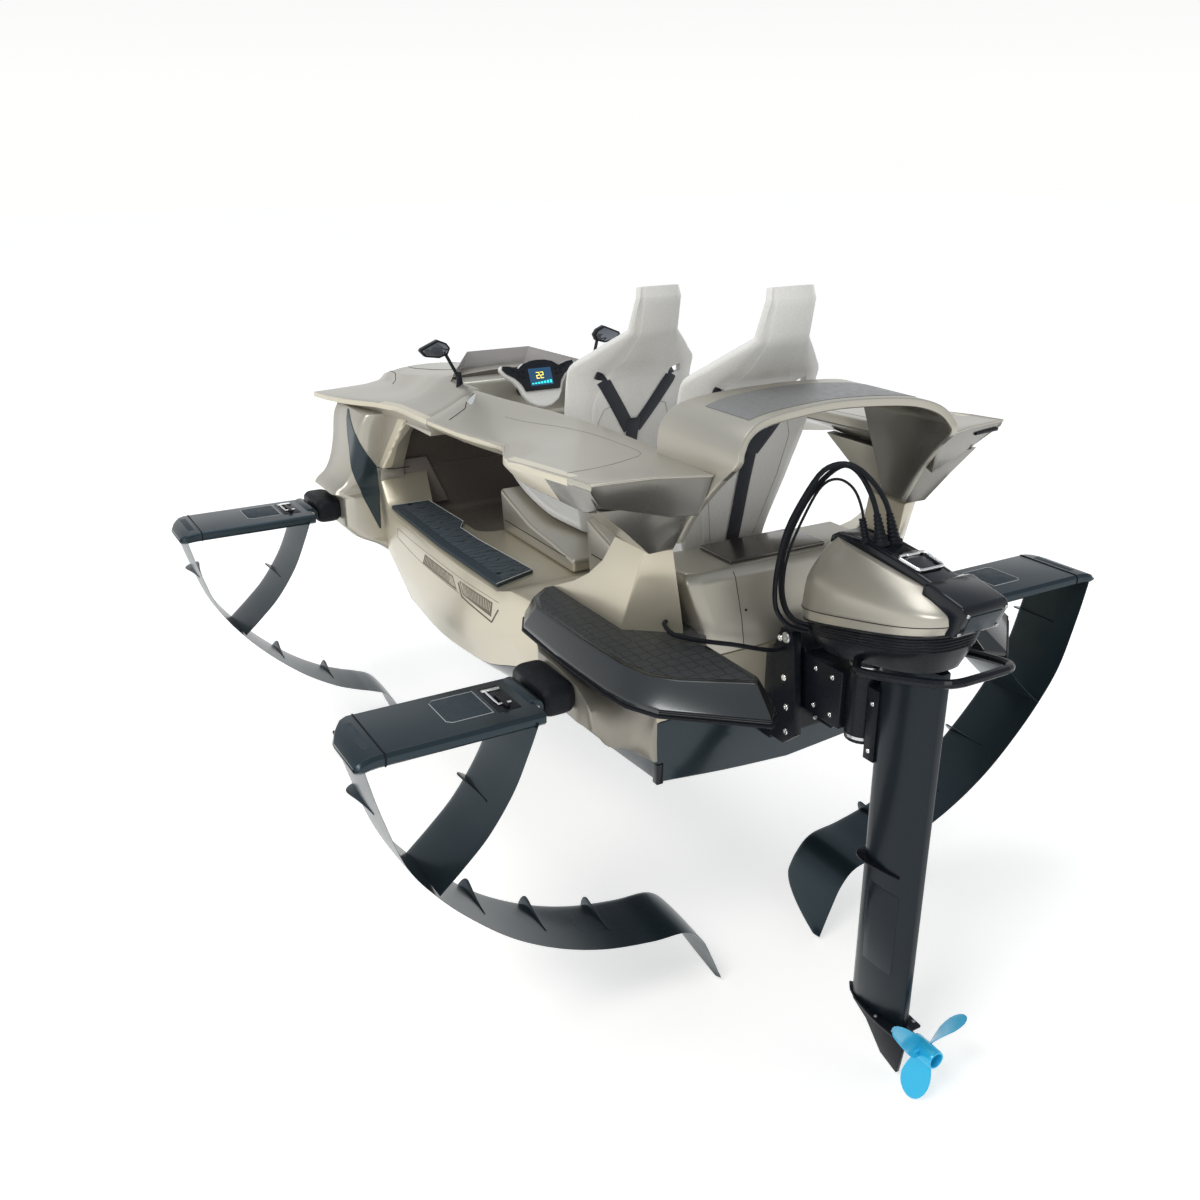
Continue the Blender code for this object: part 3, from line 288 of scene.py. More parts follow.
def webbing():
    """Flat woven strap with its crosswise rows and edge cords."""
    n = Nodes("webbing")
    rows = n.texture("ShaderNodeTexWave", [("Scale", 95.0)], "Fac", bands_direction="Z")
    warp = n.texture("ShaderNodeTexWave", [("Scale", 120.0)], "Fac", bands_direction="Y")
    weave = n.total(rows, warp, 0.7)
    n.colours(weave, (0.004, 0.005, 0.010), (0.020, 0.023, 0.036), 0.3, 1.4)
    n.bump(weave, 0.5, 0.0007)
    n.fixed(Roughness=0.8, Sheen_Weight=0.25)
    return n.mat


def glass():
    n = Nodes("tinted_screen")
    n.rough(n.noise(30.0), 0.02, 0.06)
    n.fixed(Base_Color=(0.62, 0.60, 0.61, 1.0), Transmission_Weight=0.32, IOR=1.45)
    return n.mat


def glowing(name, colour, strength):
    n = Nodes(name)
    n.rough(n.noise(40.0), 0.15, 0.25)
    n.fixed(Base_Color=(*colour, 1.0), Emission_Color=(*colour, 1.0), Emission_Strength=strength)
    return n.mat


# Paints: two flake colours, metallic share, roughness from and to, clear coat
CHAMPAGNE = paint("champagne", (0.44, 0.415, 0.355), (0.47, 0.445, 0.385), 0.72, 0.34, 0.38, 0.16)
BEIGE = paint("hull_beige", (0.54, 0.495, 0.385), (0.57, 0.525, 0.415), 0.70, 0.30, 0.34, 0.25)
# Painted highlight: a paler beige for lip edges and the screen pillar, where light catches
PAINTED_HIGHLIGHT = paint("painted_highlight_beige", (0.64, 0.59, 0.465), (0.67, 0.62, 0.495), 0.5, 0.34, 0.38, 0.15)
MOUNT_GREY = paint("mount_grey", (0.275, 0.255, 0.218), (0.3, 0.28, 0.242), 0.6, 0.36, 0.40, 0.1)
# Painted shade: a darker grey laid on faces that turn down, aft or inward, where shade falls
PAINTED_SHADE = paint("underside_painted_shade", (0.185, 0.175, 0.155), (0.215, 0.205, 0.182), 0.75,
                  0.24, 0.3, 0.3)
LOCKER_GREY = paint("locker_grey", (0.105, 0.098, 0.088), (0.13, 0.122, 0.11), 0.7, 0.20, 0.27, 0.3)
SLATE = paint("slate", (0.026, 0.040, 0.048), (0.036, 0.052, 0.061), 0.45, 0.28, 0.34, 0.35)
FOIL_PAINT = paint("foil_slate", (0.02, 0.034, 0.043), (0.028, 0.044, 0.054), 0.62, 0.27, 0.32, 0.18)
BOTTOM_PAINT = paint("bottom_slate", (0.014, 0.024, 0.032), (0.022, 0.034, 0.042), 0.6,
                     0.22, 0.28, 0.4)
LEG_PAINT = paint("leg_slate", (0.006, 0.011, 0.016), (0.01, 0.016, 0.022), 0.45, 0.27, 0.34, 0.12)
GRAPHITE_GLOSS = paint("platform_graphite", (0.058, 0.062, 0.064), (0.072, 0.076, 0.078), 0.85,
                       0.20, 0.26, 0.3)
GLOSS_BLACK = paint("gloss_black", (0.004, 0.006, 0.009), (0.007, 0.009, 0.013), 0.2,
                    0.16, 0.22, 0.2)
CYAN = paint("propeller_cyan", (0.02, 0.42, 0.70), (0.035, 0.50, 0.79), 0.25, 0.24, 0.36, 0.4)
# Mouldings: two colours, roughness from and to, grain scale and depth
WELL_PANEL = moulded("well_panel", (0.15, 0.132, 0.114), (0.172, 0.153, 0.134),
                     0.36, 0.46, 600.0, 0.08)
# Painted shade: the cockpit paint made darker for the walls of recesses, where shade falls
RECESS_SHADE = moulded("cockpit_recess_shade", (0.088, 0.076, 0.064), (0.106, 0.093, 0.08),
                0.36, 0.48, 600.0, 0.08)
GRAPHITE = moulded("graphite", (0.022, 0.032, 0.038), (0.036, 0.048, 0.056), 0.34, 0.48, 500.0, 0.08)
SHELL = moulded("seat_shell", (0.66, 0.65, 0.62), (0.71, 0.70, 0.67), 0.30, 0.42, 900.0, 0.07)
RUBBER = moulded("rubber", (0.0035, 0.0045, 0.007), (0.007, 0.008, 0.012), 0.46, 0.6, 800.0, 0.16)
CASTING = moulded("black_casting", (0.004, 0.005, 0.008), (0.009, 0.011, 0.015),
                  0.26, 0.38, 450.0, 0.12)
STEP_RUBBER = moulded("step_rubber", (0.026, 0.038, 0.047), (0.036, 0.05, 0.06),
                      0.46, 0.6, 700.0, 0.10)
SEAM = moulded("seam", (0.020, 0.020, 0.020), (0.035, 0.034, 0.032), 0.6, 0.8, 300.0, 0.05)
GRILLE = moulded("grille", (0.115, 0.100, 0.078), (0.150, 0.132, 0.104), 0.5, 0.6, 500.0, 0.08)
# Pale trim, also used for a painted highlight on the wing deck
PALE_TRIM_AND_HIGHLIGHT = moulded("pale_trim_and_highlight", (0.42, 0.43, 0.42), (0.50, 0.51, 0.50), 0.4, 0.55, 400.0, 0.05)
SHELL_LINE = moulded("seat_line", (0.36, 0.35, 0.33), (0.42, 0.41, 0.39), 0.5, 0.6, 400.0, 0.05)
LINE_GREY = moulded("panel_line", (0.20, 0.19, 0.17), (0.24, 0.23, 0.21), 0.4, 0.5, 400.0, 0.05)
CHROME = metal("chrome", (0.80, 0.80, 0.80), 0.10, 0.24)
STEEL = metal("steel", (0.55, 0.56, 0.57), 0.24, 0.40)
MIRROR = metal("mirror_glass", (0.14, 0.15, 0.17), 0.03, 0.08)
STEP_GRIP = wavy_grip()
DECK_GRIP = cell_grip()
ARCH_GRIP = dotted_grip()
WEBBING = webbing()
GLASS = glass()
DISPLAY_BLUE = glowing("display_blue", (0.010, 0.050, 0.110), 0.6)
DISPLAY_TEAL = glowing("display_teal", (0.020, 0.500, 0.520), 1.6)
DISPLAY_YELLOW = glowing("display_yellow", (0.900, 0.720, 0.080), 1.6)


# Mesh tools

def make_mesh(name, verts, faces):
    mesh = bpy.data.meshes.new(name)
    mesh.from_pydata([tuple(v) for v in verts], [], faces)
    return placed(name, mesh)


def loft(name, rings):
    """Closed skin over equal rings of points, with flat caps."""
    count = len(rings[0])
    verts = [p for ring in rings for p in ring]
    faces = []
    for i in range(len(rings) - 1):
        for j in range(count):
            k = (j + 1) % count
            faces.append((i * count + j, i * count + k, (i + 1) * count + k, (i + 1) * count + j))
    last = (len(rings) - 1) * count
    faces.append(tuple(reversed(range(count))))
    faces.append(tuple(last + j for j in range(count)))
    obj = make_mesh(name, verts, faces)
    bm = bmesh.new()
    bm.from_mesh(obj.data)
    bmesh.ops.recalc_face_normals(bm, faces=bm.faces)
    bm.to_mesh(obj.data)
    bm.free()
    return obj


def slopes(x, y):
    """Slopes of a curve through points that never overshoots them."""
    h = np.diff(x)
    d = np.diff(y, axis=0) / h[:, None]
    m = np.zeros_like(y)
    for i in range(1, len(x) - 1):
        same = d[i - 1] * d[i] > 0
        w1 = 2 * h[i] + h[i - 1]
        w2 = h[i] + 2 * h[i - 1]
        with np.errstate(divide="ignore", invalid="ignore"):
            mean = (w1 + w2) / (w1 / d[i - 1] + w2 / d[i])
        m[i] = np.where(same, mean, 0.0)
    m[0] = d[0]
    m[-1] = d[-1]
    return m


def denser(rings, steps, sharp=()):
    """Adds rings between the given ones on smooth curves; a sharp ring is a knuckle."""
    cuts = [0] + sorted(sharp) + [len(rings) - 1]
    out = []
    for a, b in zip(cuts, cuts[1:]):
        part = np.array([np.array(ring, float).ravel() for ring in rings[a:b + 1]])
        centre = np.array([np.array(ring, float).mean(axis=0) for ring in rings[a:b + 1]])
        gaps = np.maximum(np.linalg.norm(np.diff(centre, axis=0), axis=1), 1e-6)
        t = np.concatenate(([0.0], np.cumsum(gaps)))
        m = slopes(t, part) if len(part) > 2 else np.repeat((part[1:] - part[:1]) / t[1], 2, axis=0)
        for i in range(len(part) - 1):
            h = t[i + 1] - t[i]
            for s in range(steps):
                u = s / steps
                row = ((2 * u ** 3 - 3 * u ** 2 + 1) * part[i] + (u ** 3 - 2 * u ** 2 + u) * h * m[i]
                       + (3 * u ** 2 - 2 * u ** 3) * part[i + 1] + (u ** 3 - u ** 2) * h * m[i + 1])
                out.append([tuple(p) for p in row.reshape(-1, 3)])
    out.append([tuple(p) for p in rings[-1]])
    return out


def curve_points(points, steps):
    """Catmull-Rom curve through points of any dimension."""
    pts = [Vector(p) for p in points]
    pts = [pts[0] * 2 - pts[1]] + pts + [pts[-1] * 2 - pts[-2]]
    out = []
    for i in range(1, len(pts) - 2):
        p0, p1, p2, p3 = pts[i - 1:i + 3]
        for s in range(steps):
            t = s / steps
            out.append(0.5 * ((2 * p1) + (p2 - p0) * t + (2 * p0 - 5 * p1 + 4 * p2 - p3) * t * t
                              + (3 * p1 - p0 - 3 * p2 + p3) * t ** 3))
    out.append(pts[-2])
    return out


def section(points, corners, steps):
    """Outline through points, straight at its corners and curved between them."""
    marks = [0, *corners, len(points) - 1]
    out = []
    for a, b in zip(marks, marks[1:]):
        part = points[a:b + 1]
        line = curve_points(part, steps) if len(part) > 2 else part
        out.extend(tuple(p) for p in line[:-1])
    out.append(tuple(points[-1]))
    return out


def spaced(points, step):
    """Straight runs between points, cut into steps no longer than step."""
    out = []
    pts = [Vector(p) for p in points]
    for a, b in zip(pts, pts[1:]):
        count = max(1, int((b - a).length / step))
        out.extend(a.lerp(b, i / count) for i in range(count))
    out.append(pts[-1])
    return out


def inset_outline(outline, amount):
    """Outline moved inward by an amount."""
    pts = [Vector(p) for p in outline]
    area = sum(a.x * b.y - b.x * a.y for a, b in zip(pts, pts[1:] + pts[:1]))
    turn = 1.0 if area > 0 else -1.0
    out = []
    for i, p in enumerate(pts):
        d0 = (p - pts[i - 1]).normalized()
        d1 = (pts[(i + 1) % len(pts)] - p).normalized()
        n0 = Vector((-d0.y, d0.x)) * turn
        n1 = Vector((-d1.y, d1.x)) * turn
        n = (n0 + n1).normalized()
        out.append(tuple(p + n * (amount / max(n.dot(n0), 0.4))))
    return out


def mirror_half(half):
    """Whole ring from its port half, which starts and ends on the centreline."""
    return list(half) + [(x, -y, z) for x, y, z in reversed(half) if abs(y) > 1e-6]


def both(half):
    """Outline of two columns from the half whose second column is positive."""
    return list(half) + [(a, -b) for a, b in reversed(half[1:])]


def on_side(points, side):
    return [(x, y * side, z) for x, y, z in points]


def mirrored(obj, side):
    """A port piece as it is, or turned over for the starboard side."""
    if side < 0:
        obj.data.transform(Matrix.Scale(-1.0, 4, (0.0, 1.0, 0.0)))
        obj.data.flip_normals()
    return obj


def prism(name, outline, low, high, axis="z", side=1.0):
    """Outline extruded along an axis; the outline gives the other two places."""
    def put(a, b, c):
        if axis == "z":
            return (a, b * side, c)
        if axis == "y":
            return (a, c * side, b)
        return (c, a * side, b)
    return loft(name, [[put(a, b, low) for a, b in outline], [put(a, b, high) for a, b in outline]])


def tube(name, points, radius, sides=8):
    """Round bar along points, as a closed mesh; radius is one value or one a point."""
    radii = radius if isinstance(radius, (list, tuple)) else [radius] * len(points)
    points = [Vector(p) for p in points]
    rings = []
    up = None
    for i, p in enumerate(points):
        ahead = (points[min(i + 1, len(points) - 1)] - points[max(i - 1, 0)]).normalized()
        if up is None:
            up = Vector((0, 0, 1)) if abs(ahead.z) < 0.9 else Vector((1, 0, 0))
        across = ahead.cross(up).normalized()
        up = across.cross(ahead)
        rings.append([tuple(p + (across * math.cos(t) + up * math.sin(t)) * radii[i])
                      for t in (2 * math.pi * k / sides for k in range(sides))])
    return loft(name, rings)


def with_modifier(obj, kind, **settings):
    """Adds a modifier and keeps its result as the mesh."""
    mod = obj.modifiers.new(kind.lower(), kind)
    for key, value in settings.items():
        setattr(mod, key, value)
    graph = bpy.context.evaluated_depsgraph_get()
    mesh = bpy.data.meshes.new_from_object(obj.evaluated_get(graph))
    obj.modifiers.clear()
    old = obj.data
    obj.data = mesh
    if old.users == 0:
        bpy.data.meshes.remove(old)
    return obj


def bevel(obj, width, segments=3, angle=30.0):
    return with_modifier(obj, "BEVEL", width=width, segments=segments, limit_method="ANGLE",
                         angle_limit=math.radians(angle), use_clamp_overlap=True)


def rectangle(x0, y0, x1, y1):
    return [(x0, y0), (x1, y0), (x1, y1), (x0, y1)]


def rounded_box(name, low, high, radius):
    (x0, y0, z0), (x1, y1, z1) = low, high
    return bevel(prism(name, rectangle(x0, y0, x1, y1), z0, z1), radius)


def combine(obj, other, operation):
    with_modifier(obj, "BOOLEAN", operation=operation, solver="EXACT", material_mode="TRANSFER",
                  object=other)
    bpy.data.objects.remove(other, do_unlink=True)
    return obj


def dress(obj, mat, body, *nodes, smooth=38.0):
    """Gives a piece its material and shading, and the body and nodes it stands for."""
    if not obj.data.materials:
        obj.data.materials.append(mat)
    elif obj.data.materials[0] is None:
        obj.data.materials[0] = mat
    for face in obj.data.polygons:
        face.use_smooth = True
    obj.data.set_sharp_from_angle(angle=math.radians(smooth))
    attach(obj, body)
    if nodes:
        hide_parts(*nodes)
    return obj


def painted(obj, mat):
    """Material on a cutter or a part, before it is combined with another."""
    obj.data.materials.append(mat)
    return obj


def carve(obj, mat, outline, low, high, axis, radius, segments):
    """Takes a rounded pocket with its own material out of a skin."""
    cutter = bevel(prism("cutter", outline, low, high, axis), radius, segments)
    combine(obj, painted(cutter, mat), "DIFFERENCE")


def soften(node, mat, width, segments=3, angle=32.0, smooth=38.0):
    """Finished form of a plain solid: flat faces made whole again, and rounded edges."""
    obj = placed(node + "_skin", NODES[node].data.copy())
    obj.data.materials.clear()
    bm = bmesh.new()
    bm.from_mesh(obj.data)
    bmesh.ops.remove_doubles(bm, verts=bm.verts, dist=0.00002)
    bmesh.ops.dissolve_limit(bm, angle_limit=math.radians(0.6), verts=bm.verts, edges=bm.edges)
    for face in bm.faces:
        face.material_index = 0
    bm.to_mesh(obj.data)
    bm.free()
    bevel(obj, width, segments, angle)
    return dress(obj, mat, NODES[node]["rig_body"], node, smooth=smooth)


def merged(name, parts):
    """One object from several meshes, side by side."""
    bm = bmesh.new()
    mats = []
    for part in parts:
        start = len(bm.faces)
        bm.from_mesh(part.data)
        bm.faces.ensure_lookup_table()
        for face in bm.faces[start:]:
            mat = part.data.materials[face.material_index] if part.data.materials else None
            if mat not in mats:
                mats.append(mat)
            face.material_index = mats.index(mat)
    obj = make_mesh(name, [], [])
    bm.to_mesh(obj.data)
    bm.free()
    for mat in mats:
        obj.data.materials.append(mat)
    for part in parts:
        bpy.data.objects.remove(part, do_unlink=True)
    return obj


def bar(name, points, radius, mat, body, sides=8, step=None):
    """Round bar along points as a piece of its own."""
    return dress(tube(name, spaced(points, step) if step else points, radius, sides), mat, body,
                 smooth=60.0)


def plate(name, outline, low, high, radius, mat, body, *nodes, axis="z", side=1.0, segments=3):
    """Flat plate with rounded edges as a piece of its own."""
    slab = prism(name, outline, low, high, axis, side)
    return dress(bevel(slab, radius, segments), mat, body, *nodes)


def tree_of(obj):
    return BVHTree.FromObject(obj, bpy.context.evaluated_depsgraph_get())


def cast(tree, point, way, reach):
    """Where a line through a point meets a surface, and the normal that faces back along it."""
    hit, normal, _, _ = tree.ray_cast(point - way * reach, way, 2 * reach)
    if hit is not None and normal.dot(way) > 0:
        normal = -normal
    return hit, normal


def landed(tree, points, direction):
    """Points dropped along a direction onto a surface; misses are left out."""
    way = Vector(direction).normalized()
    hits = [cast(tree, Vector(point), way, 0.6)[0] for point in points]
    return [hit for hit in hits if hit is not None]


def seams(name, target, lines, direction, body, radius=0.0016, mat=SEAM):
    """Fine lines drawn on a surface where two mouldings meet."""
    tree = tree_of(target)
    parts = [tube("seam", landed(tree, spaced(line, 0.012), direction), radius, 6) for line in lines]
    return dress(merged(name, parts), mat, body, smooth=60.0)


def inlay(name, target, outline, low, high, rise, mat, body, side, edge=0.0):
    """Panel that stands slightly proud of a side inside an outline of x and z."""
    obj = placed(name, target.data.copy())
    obj.data.materials.clear()
    normals = [v.normal.copy() for v in obj.data.vertices]
    for vertex, normal in zip(obj.data.vertices, normals):
        vertex.co += normal * rise
    combine(obj, prism("cutter", outline, low, high, "y", side), "INTERSECT")
    obj.data.materials.clear()
    if edge:
        bevel(obj, edge, 2)
    return dress(obj, mat, body)


def lip_rule(stations, beam, height, reach, below, above):
    """Rule that picks the faces of an outer lip; beam and height are columns of its stations."""
    def rule(middle, normal):
        for a, b in zip(stations, stations[1:]):
            if min(a[0], b[0]) <= middle.x <= max(a[0], b[0]):
                t = (middle.x - a[0]) / (b[0] - a[0])
                y = a[beam] + t * (b[beam] - a[beam])
                z = a[height] + t * (b[height] - a[height])
                return abs(abs(middle.y) - y) < reach and z - below < middle.z < z + above
        return False
    return rule


def shaded(obj, mat, rule):
    """Second material on the faces that a rule picks by their middle and normal."""
    obj.data.materials.append(mat)
    slot = len(obj.data.materials) - 1
    for face in obj.data.polygons:
        if rule(face.center, face.normal):
            face.material_index = slot


PATCH_ACROSS = 14
PATCH_STEPS = 12
PATCH_DEPTH = 0.0008


def patch(name, target, left, right, direction, mat, body, side=1.0, lift=0.0012):
    """Thin panel laid on a surface between two rails with as many points each."""
    tree = tree_of(target)
    way = Vector((direction[0], direction[1] * side, direction[2])).normalized()
    rails = []
    for rail in (left, right):
        pts = [Vector(p) for p in on_side(rail, side)]
        rails.append([a.lerp(b, i / PATCH_STEPS) for a, b in zip(pts, pts[1:])
                      for i in range(PATCH_STEPS)] + [pts[-1]])
    rings = []
    for a, b in zip(*rails):
        upper = []
        lower = []
        for j in range(PATCH_ACROSS + 1):
            point = a.lerp(b, j / PATCH_ACROSS)
            hit, normal = cast(tree, point, way, 0.3)
            if hit is None:
                hit = point
                normal = -way
            upper.append(tuple(hit + normal * lift))
            lower.append(tuple(hit - normal * PATCH_DEPTH))
        rings.append(upper + lower[::-1])
    return dress(loft(name, rings), mat, body, smooth=50.0)


HEAD_SIDES = 16
# Screw head with a sunk hexagon: share of the radius and of the height
HEAD_LEVELS = ((1.0, 0.0), (1.0, 0.7), (0.86, 1.0), (0.50, 1.0), (0.46, 0.45), (0.10, 0.45))


def head(place, normal, radius, height):
    bm = bmesh.new()
    rings = []
    for r, h in HEAD_LEVELS:
        rings.append([bm.verts.new((radius * r * math.cos(t), radius * r * math.sin(t), height * h))
                      for t in (2 * math.pi * k / HEAD_SIDES for k in range(HEAD_SIDES))])
    for a, b in zip(rings, rings[1:]):
        for j in range(HEAD_SIDES):
            k = (j + 1) % HEAD_SIDES
            bm.faces.new((a[j], a[k], b[k], b[j]))
    bm.faces.new(rings[-1])
    bm.faces.new(list(reversed(rings[0])))
    turn = Vector((0, 0, 1)).rotation_difference(Vector(normal)).to_matrix().to_4x4()
    bm.transform(Matrix.Translation(place) @ turn)
    obj = make_mesh("head", [], [])
    bm.to_mesh(obj.data)
    bm.free()
    return obj


def heads(name, places, normal, radius, height, mat, body):
    """Row of screw heads facing along a normal."""
    return dress(merged(name, [head(p, normal, radius, height) for p in places]), mat, body)


# Hull, bow and decks

# Station: x, chine half beam, chine z, bilge half beam, bilge z, keel z,
# side half beam, side z, sill half beam, top z
HULL_STATIONS = (
    (-0.95, 0.440, 0.02, 0.430, -0.160, -0.20, 0.440, 0.08, 0.440, 0.165),
    (-0.60, 0.440, 0.02, 0.425, -0.185, -0.23, 0.450, 0.08, 0.450, 0.165),
    (-0.42, 0.440, 0.00, 0.420, -0.195, -0.25, 0.480, 0.06, 0.490, 0.165),
    (-0.25, 0.450, -0.10, 0.415, -0.210, -0.27, 0.505, 0.00, 0.515, 0.165),
    (-0.16, 0.452, -0.135, 0.413, -0.222, -0.28, 0.510, -0.02, 0.520, 0.135),
    (0.10, 0.460, -0.215, 0.405, -0.260, -0.31, 0.525, -0.06, 0.530, 0.135),
    (0.45, 0.460, -0.245, 0.390, -0.285, -0.33, 0.520, -0.08, 0.525, 0.135),
    (0.80, 0.440, -0.235, 0.350, -0.275, -0.32, 0.495, -0.06, 0.505, 0.135),
    (0.95, 0.415, -0.205, 0.310, -0.250, -0.30, 0.475, -0.03, 0.490, 0.26),
    (1.15, 0.355, -0.145, 0.250, -0.200, -0.25, 0.425, 0.01, 0.450, 0.26),
    (1.45, 0.215, -0.030, 0.140, -0.095, -0.14, 0.275, 0.09, 0.310, 0.26),
    (1.70, 0.090, 0.080, 0.050, 0.030, 0.00, 0.120, 0.15, 0.150, 0.26),
)
HULL_KNUCKLES = [3, 4, 7, 8]
HULL_STEPS = 4
CHINE_GAP = 0.0003
# Outline of the foot well in the cockpit floor
WELL = ((0.93, 0.30), (0.80, 0.33), (0.40, 0.33), (0.365, 0.29),
        (0.365, -0.29), (0.40, -0.33), (0.80, -0.33), (0.93, -0.30))
WELL_FLOOR_Z = 0.05


def hull():
    bottoms = []
    sides = []
    for x, yc, zc, yb, zb, zk, ym, zm, ys, zt in HULL_STATIONS:
        bilge = [(x, 0.0, zk), (x, 0.5 * yb, 0.5 * (zk + zb) - 0.004), (x, yb, zb),
                 (x, 0.5 * (yb + yc) + 0.004, 0.5 * (zb + zc)), (x, yc, zc)]
        bottoms.append(mirror_half(section(bilge, (2,), 3) + [(x, 0.0, zc)]))
        low = zc + CHINE_GAP
        flank = section([(x, yc, low), (x, ym, zm), (x, ys, zt - 0.012)], (), 4)
        sides.append(mirror_half([(x, 0.0, low)] + flank
                                 + [(x, ys - 0.004, zt - 0.004), (x, ys - 0.014, zt), (x, 0.0, zt)]))
    lower = loft("bottom_skin", denser(bottoms, HULL_STEPS, HULL_KNUCKLES))
    dress(bevel(lower, 0.006), BOTTOM_PAINT, "hull", "hull_bottom")
    shell = painted(loft("shell_skin", denser(sides, HULL_STEPS, HULL_KNUCKLES)), BEIGE)
    # Walls of the foot well take the darker painted shade
    carve(shell, RECESS_SHADE, WELL, WELL_FLOOR_Z, 0.40, "z", 0.025, 4)
    dress(shell, BEIGE, "hull", "hull_shell")
    for _, side in SIDES:
        side_panel(shell, side)


# Side panel: x and z of its edge line, of the two grilles and of the drain groove under them
PANEL_LINE = ((0.10, 0.040), (0.42, 0.040), (0.712, 0.052), (0.700, 0.090), (0.42, 0.095),
              (-0.175, 0.100))
GRILLES = (((0.425, 0.043), (0.400, 0.083), (0.150, 0.085), (0.120, 0.044)),
           ((0.070, 0.046), (0.095, 0.086), (-0.135, 0.087), (-0.120, 0.034)))
DRAIN_LINE = ((0.105, 0.076), (0.080, 0.036), (-0.120, 0.016), (-0.170, 0.074))
SLAT_PITCH = 0.011
SLAT_FOOT_Z = 0.050


def side_panel(shell, side):
    """Ribbed grilles, edge line and groove below the step."""
    beyond = side * 0.8
    inward = (0, -side, 0)
    edges = (("panel_line", PANEL_LINE, 0.0008), ("drain_groove", DRAIN_LINE, 0.0026))
    for name, line, radius in edges:
        seams(name, shell, [[(x, beyond, z) for x, z in line]], inward, "hull", radius, GRILLE)
    for corners in GRILLES:
        inlay("side_grille", shell, corners, 0.45, 0.60, 0.0004, GRILLE, "hull", side)
        (x0, _), (x1, top), (x2, _), (x3, _) = corners
        count = int((x1 - x2) / SLAT_PITCH)
        slats = [[(x0 + (x3 - x0) * share, beyond, SLAT_FOOT_Z),
                  (x1 + (x2 - x1) * share, beyond, top - 0.003)]
                 for share in (k / count for k in range(1, count))]
        seams("grille_slats", shell, slats, inward, "hull", 0.0013, BEIGE)


# Station: x, base half beam, base z, side half beam, side z, lip half beam,
# lip z, hollow half beam, hollow z, pod half beam, pod z, crown z
BOW_STATIONS = (
    (0.50, 0.505, 0.135, 0.440, 0.480, 0.455, 0.508, 0.360, 0.560, 0.270, 0.612, 0.615),
    (0.80, 0.505, 0.135, 0.440, 0.465, 0.452, 0.497, 0.350, 0.545, 0.260, 0.602, 0.622),
    (0.95, 0.488, 0.26, 0.445, 0.450, 0.480, 0.487, 0.340, 0.525, 0.250, 0.582, 0.602),
    (1.15, 0.450, 0.26, 0.430, 0.430, 0.535, 0.470, 0.310, 0.500, 0.230, 0.550, 0.570),
    (1.35, 0.360, 0.26, 0.360, 0.410, 0.553, 0.452, 0.280, 0.480, 0.215, 0.520, 0.540),
    (1.48, 0.295, 0.26, 0.300, 0.395, 0.550, 0.440, 0.250, 0.465, 0.200, 0.500, 0.520),
    (1.60, 0.220, 0.26, 0.240, 0.380, 0.300, 0.425, 0.215, 0.452, 0.185, 0.485, 0.505),
    (1.70, 0.150, 0.26, 0.173, 0.367, 0.223, 0.412, 0.185, 0.437, 0.162, 0.462, 0.482),
    (1.75, 0.090, 0.30, 0.140, 0.360, 0.185, 0.405, 0.170, 0.430, 0.150, 0.450, 0.470),
)
BOW_KNUCKLES = [1, 2, 5, 6]
LIP_DEPTH = 0.018
# Leg space, side openings and the gap for the dash: material, outline, low, high, axis,
# edge radius and segments
# The leg space and the dash gap get the darker painted shade on their walls
BOW_CUTS = (
    (RECESS_SHADE, ((0.30, 0.10), (0.93, 0.10), (0.93, 0.30), (0.86, 0.42), (0.72, 0.468), (0.30, 0.472)),
     -0.40, 0.40, "y", 0.03, 4),
    (CHAMPAGNE, ((0.30, 0.10), (0.885, 0.10), (0.905, 0.26), (0.76, 0.462), (0.30, 0.470)),
     -0.70, 0.70, "y", 0.02, 4),
    (RECESS_SHADE, ((0.30, -0.262), (0.76, -0.25), (0.76, 0.25), (0.30, 0.262)), 0.40, 0.80, "z", 0.012, 3),
)


def bow_section(row):
    x, yb, zb, ys, zs, yl, zl, yh, zh, yp, zp, zt = row
    edge = (x, yl, zl + LIP_DEPTH)
    low = [(x, 0.0, zb + CHINE_GAP), (x, yb, zb + CHINE_GAP), (x, ys, zs), (x, yl, zl), edge]
    hollow = section([edge, (x, yh, zh), (x, yp, zp)], (), 5)[1:]
    crown = [(x, share * yp, zp + rise * (zt - zp)) for share, rise in ((0.66, 0.62), (0.33, 0.92))]
    return mirror_half(low + hollow + crown + [(x, 0.0, zt)])


def bow():
    rings = denser([bow_section(row) for row in BOW_STATIONS], 5, BOW_KNUCKLES)
    skin = painted(loft("bow_skin", rings), CHAMPAGNE)
    for cut in BOW_CUTS:
        carve(skin, *cut)
    dress(bevel(skin, 0.004, 2, 28.0), CHAMPAGNE, "hull", "bow_deck", smooth=28.0)
    # Painted highlight on the lip faces of the fore deck
    shaded(skin, PAINTED_HIGHLIGHT, lip_rule(BOW_STATIONS, 5, 6, 0.014, 0.006, 0.024))
    for _, side in SIDES:
        bow_lines(skin, side)


# Lines on the fore deck as x and y: hood edge and its arc
HOOD_LINES = (((1.660, 0.158), (1.600, 0.172), (1.540, 0.184), (1.470, 0.200), (1.400, 0.226),
               (1.340, 0.262)),
              ((1.58, 0.10), (1.40, 0.13), (1.20, 0.145), (1.00, 0.155), (0.98, 0.120)))
# Pillar beside the leg space, with a painted highlight: its front and rear edges
PILLAR_EDGES = (((0.800, 0.444, 0.470), (0.865, 0.464, 0.370), (0.923, 0.484, 0.268)),
                ((0.715, 0.447, 0.480), (0.820, 0.455, 0.370), (0.892, 0.462, 0.266)))
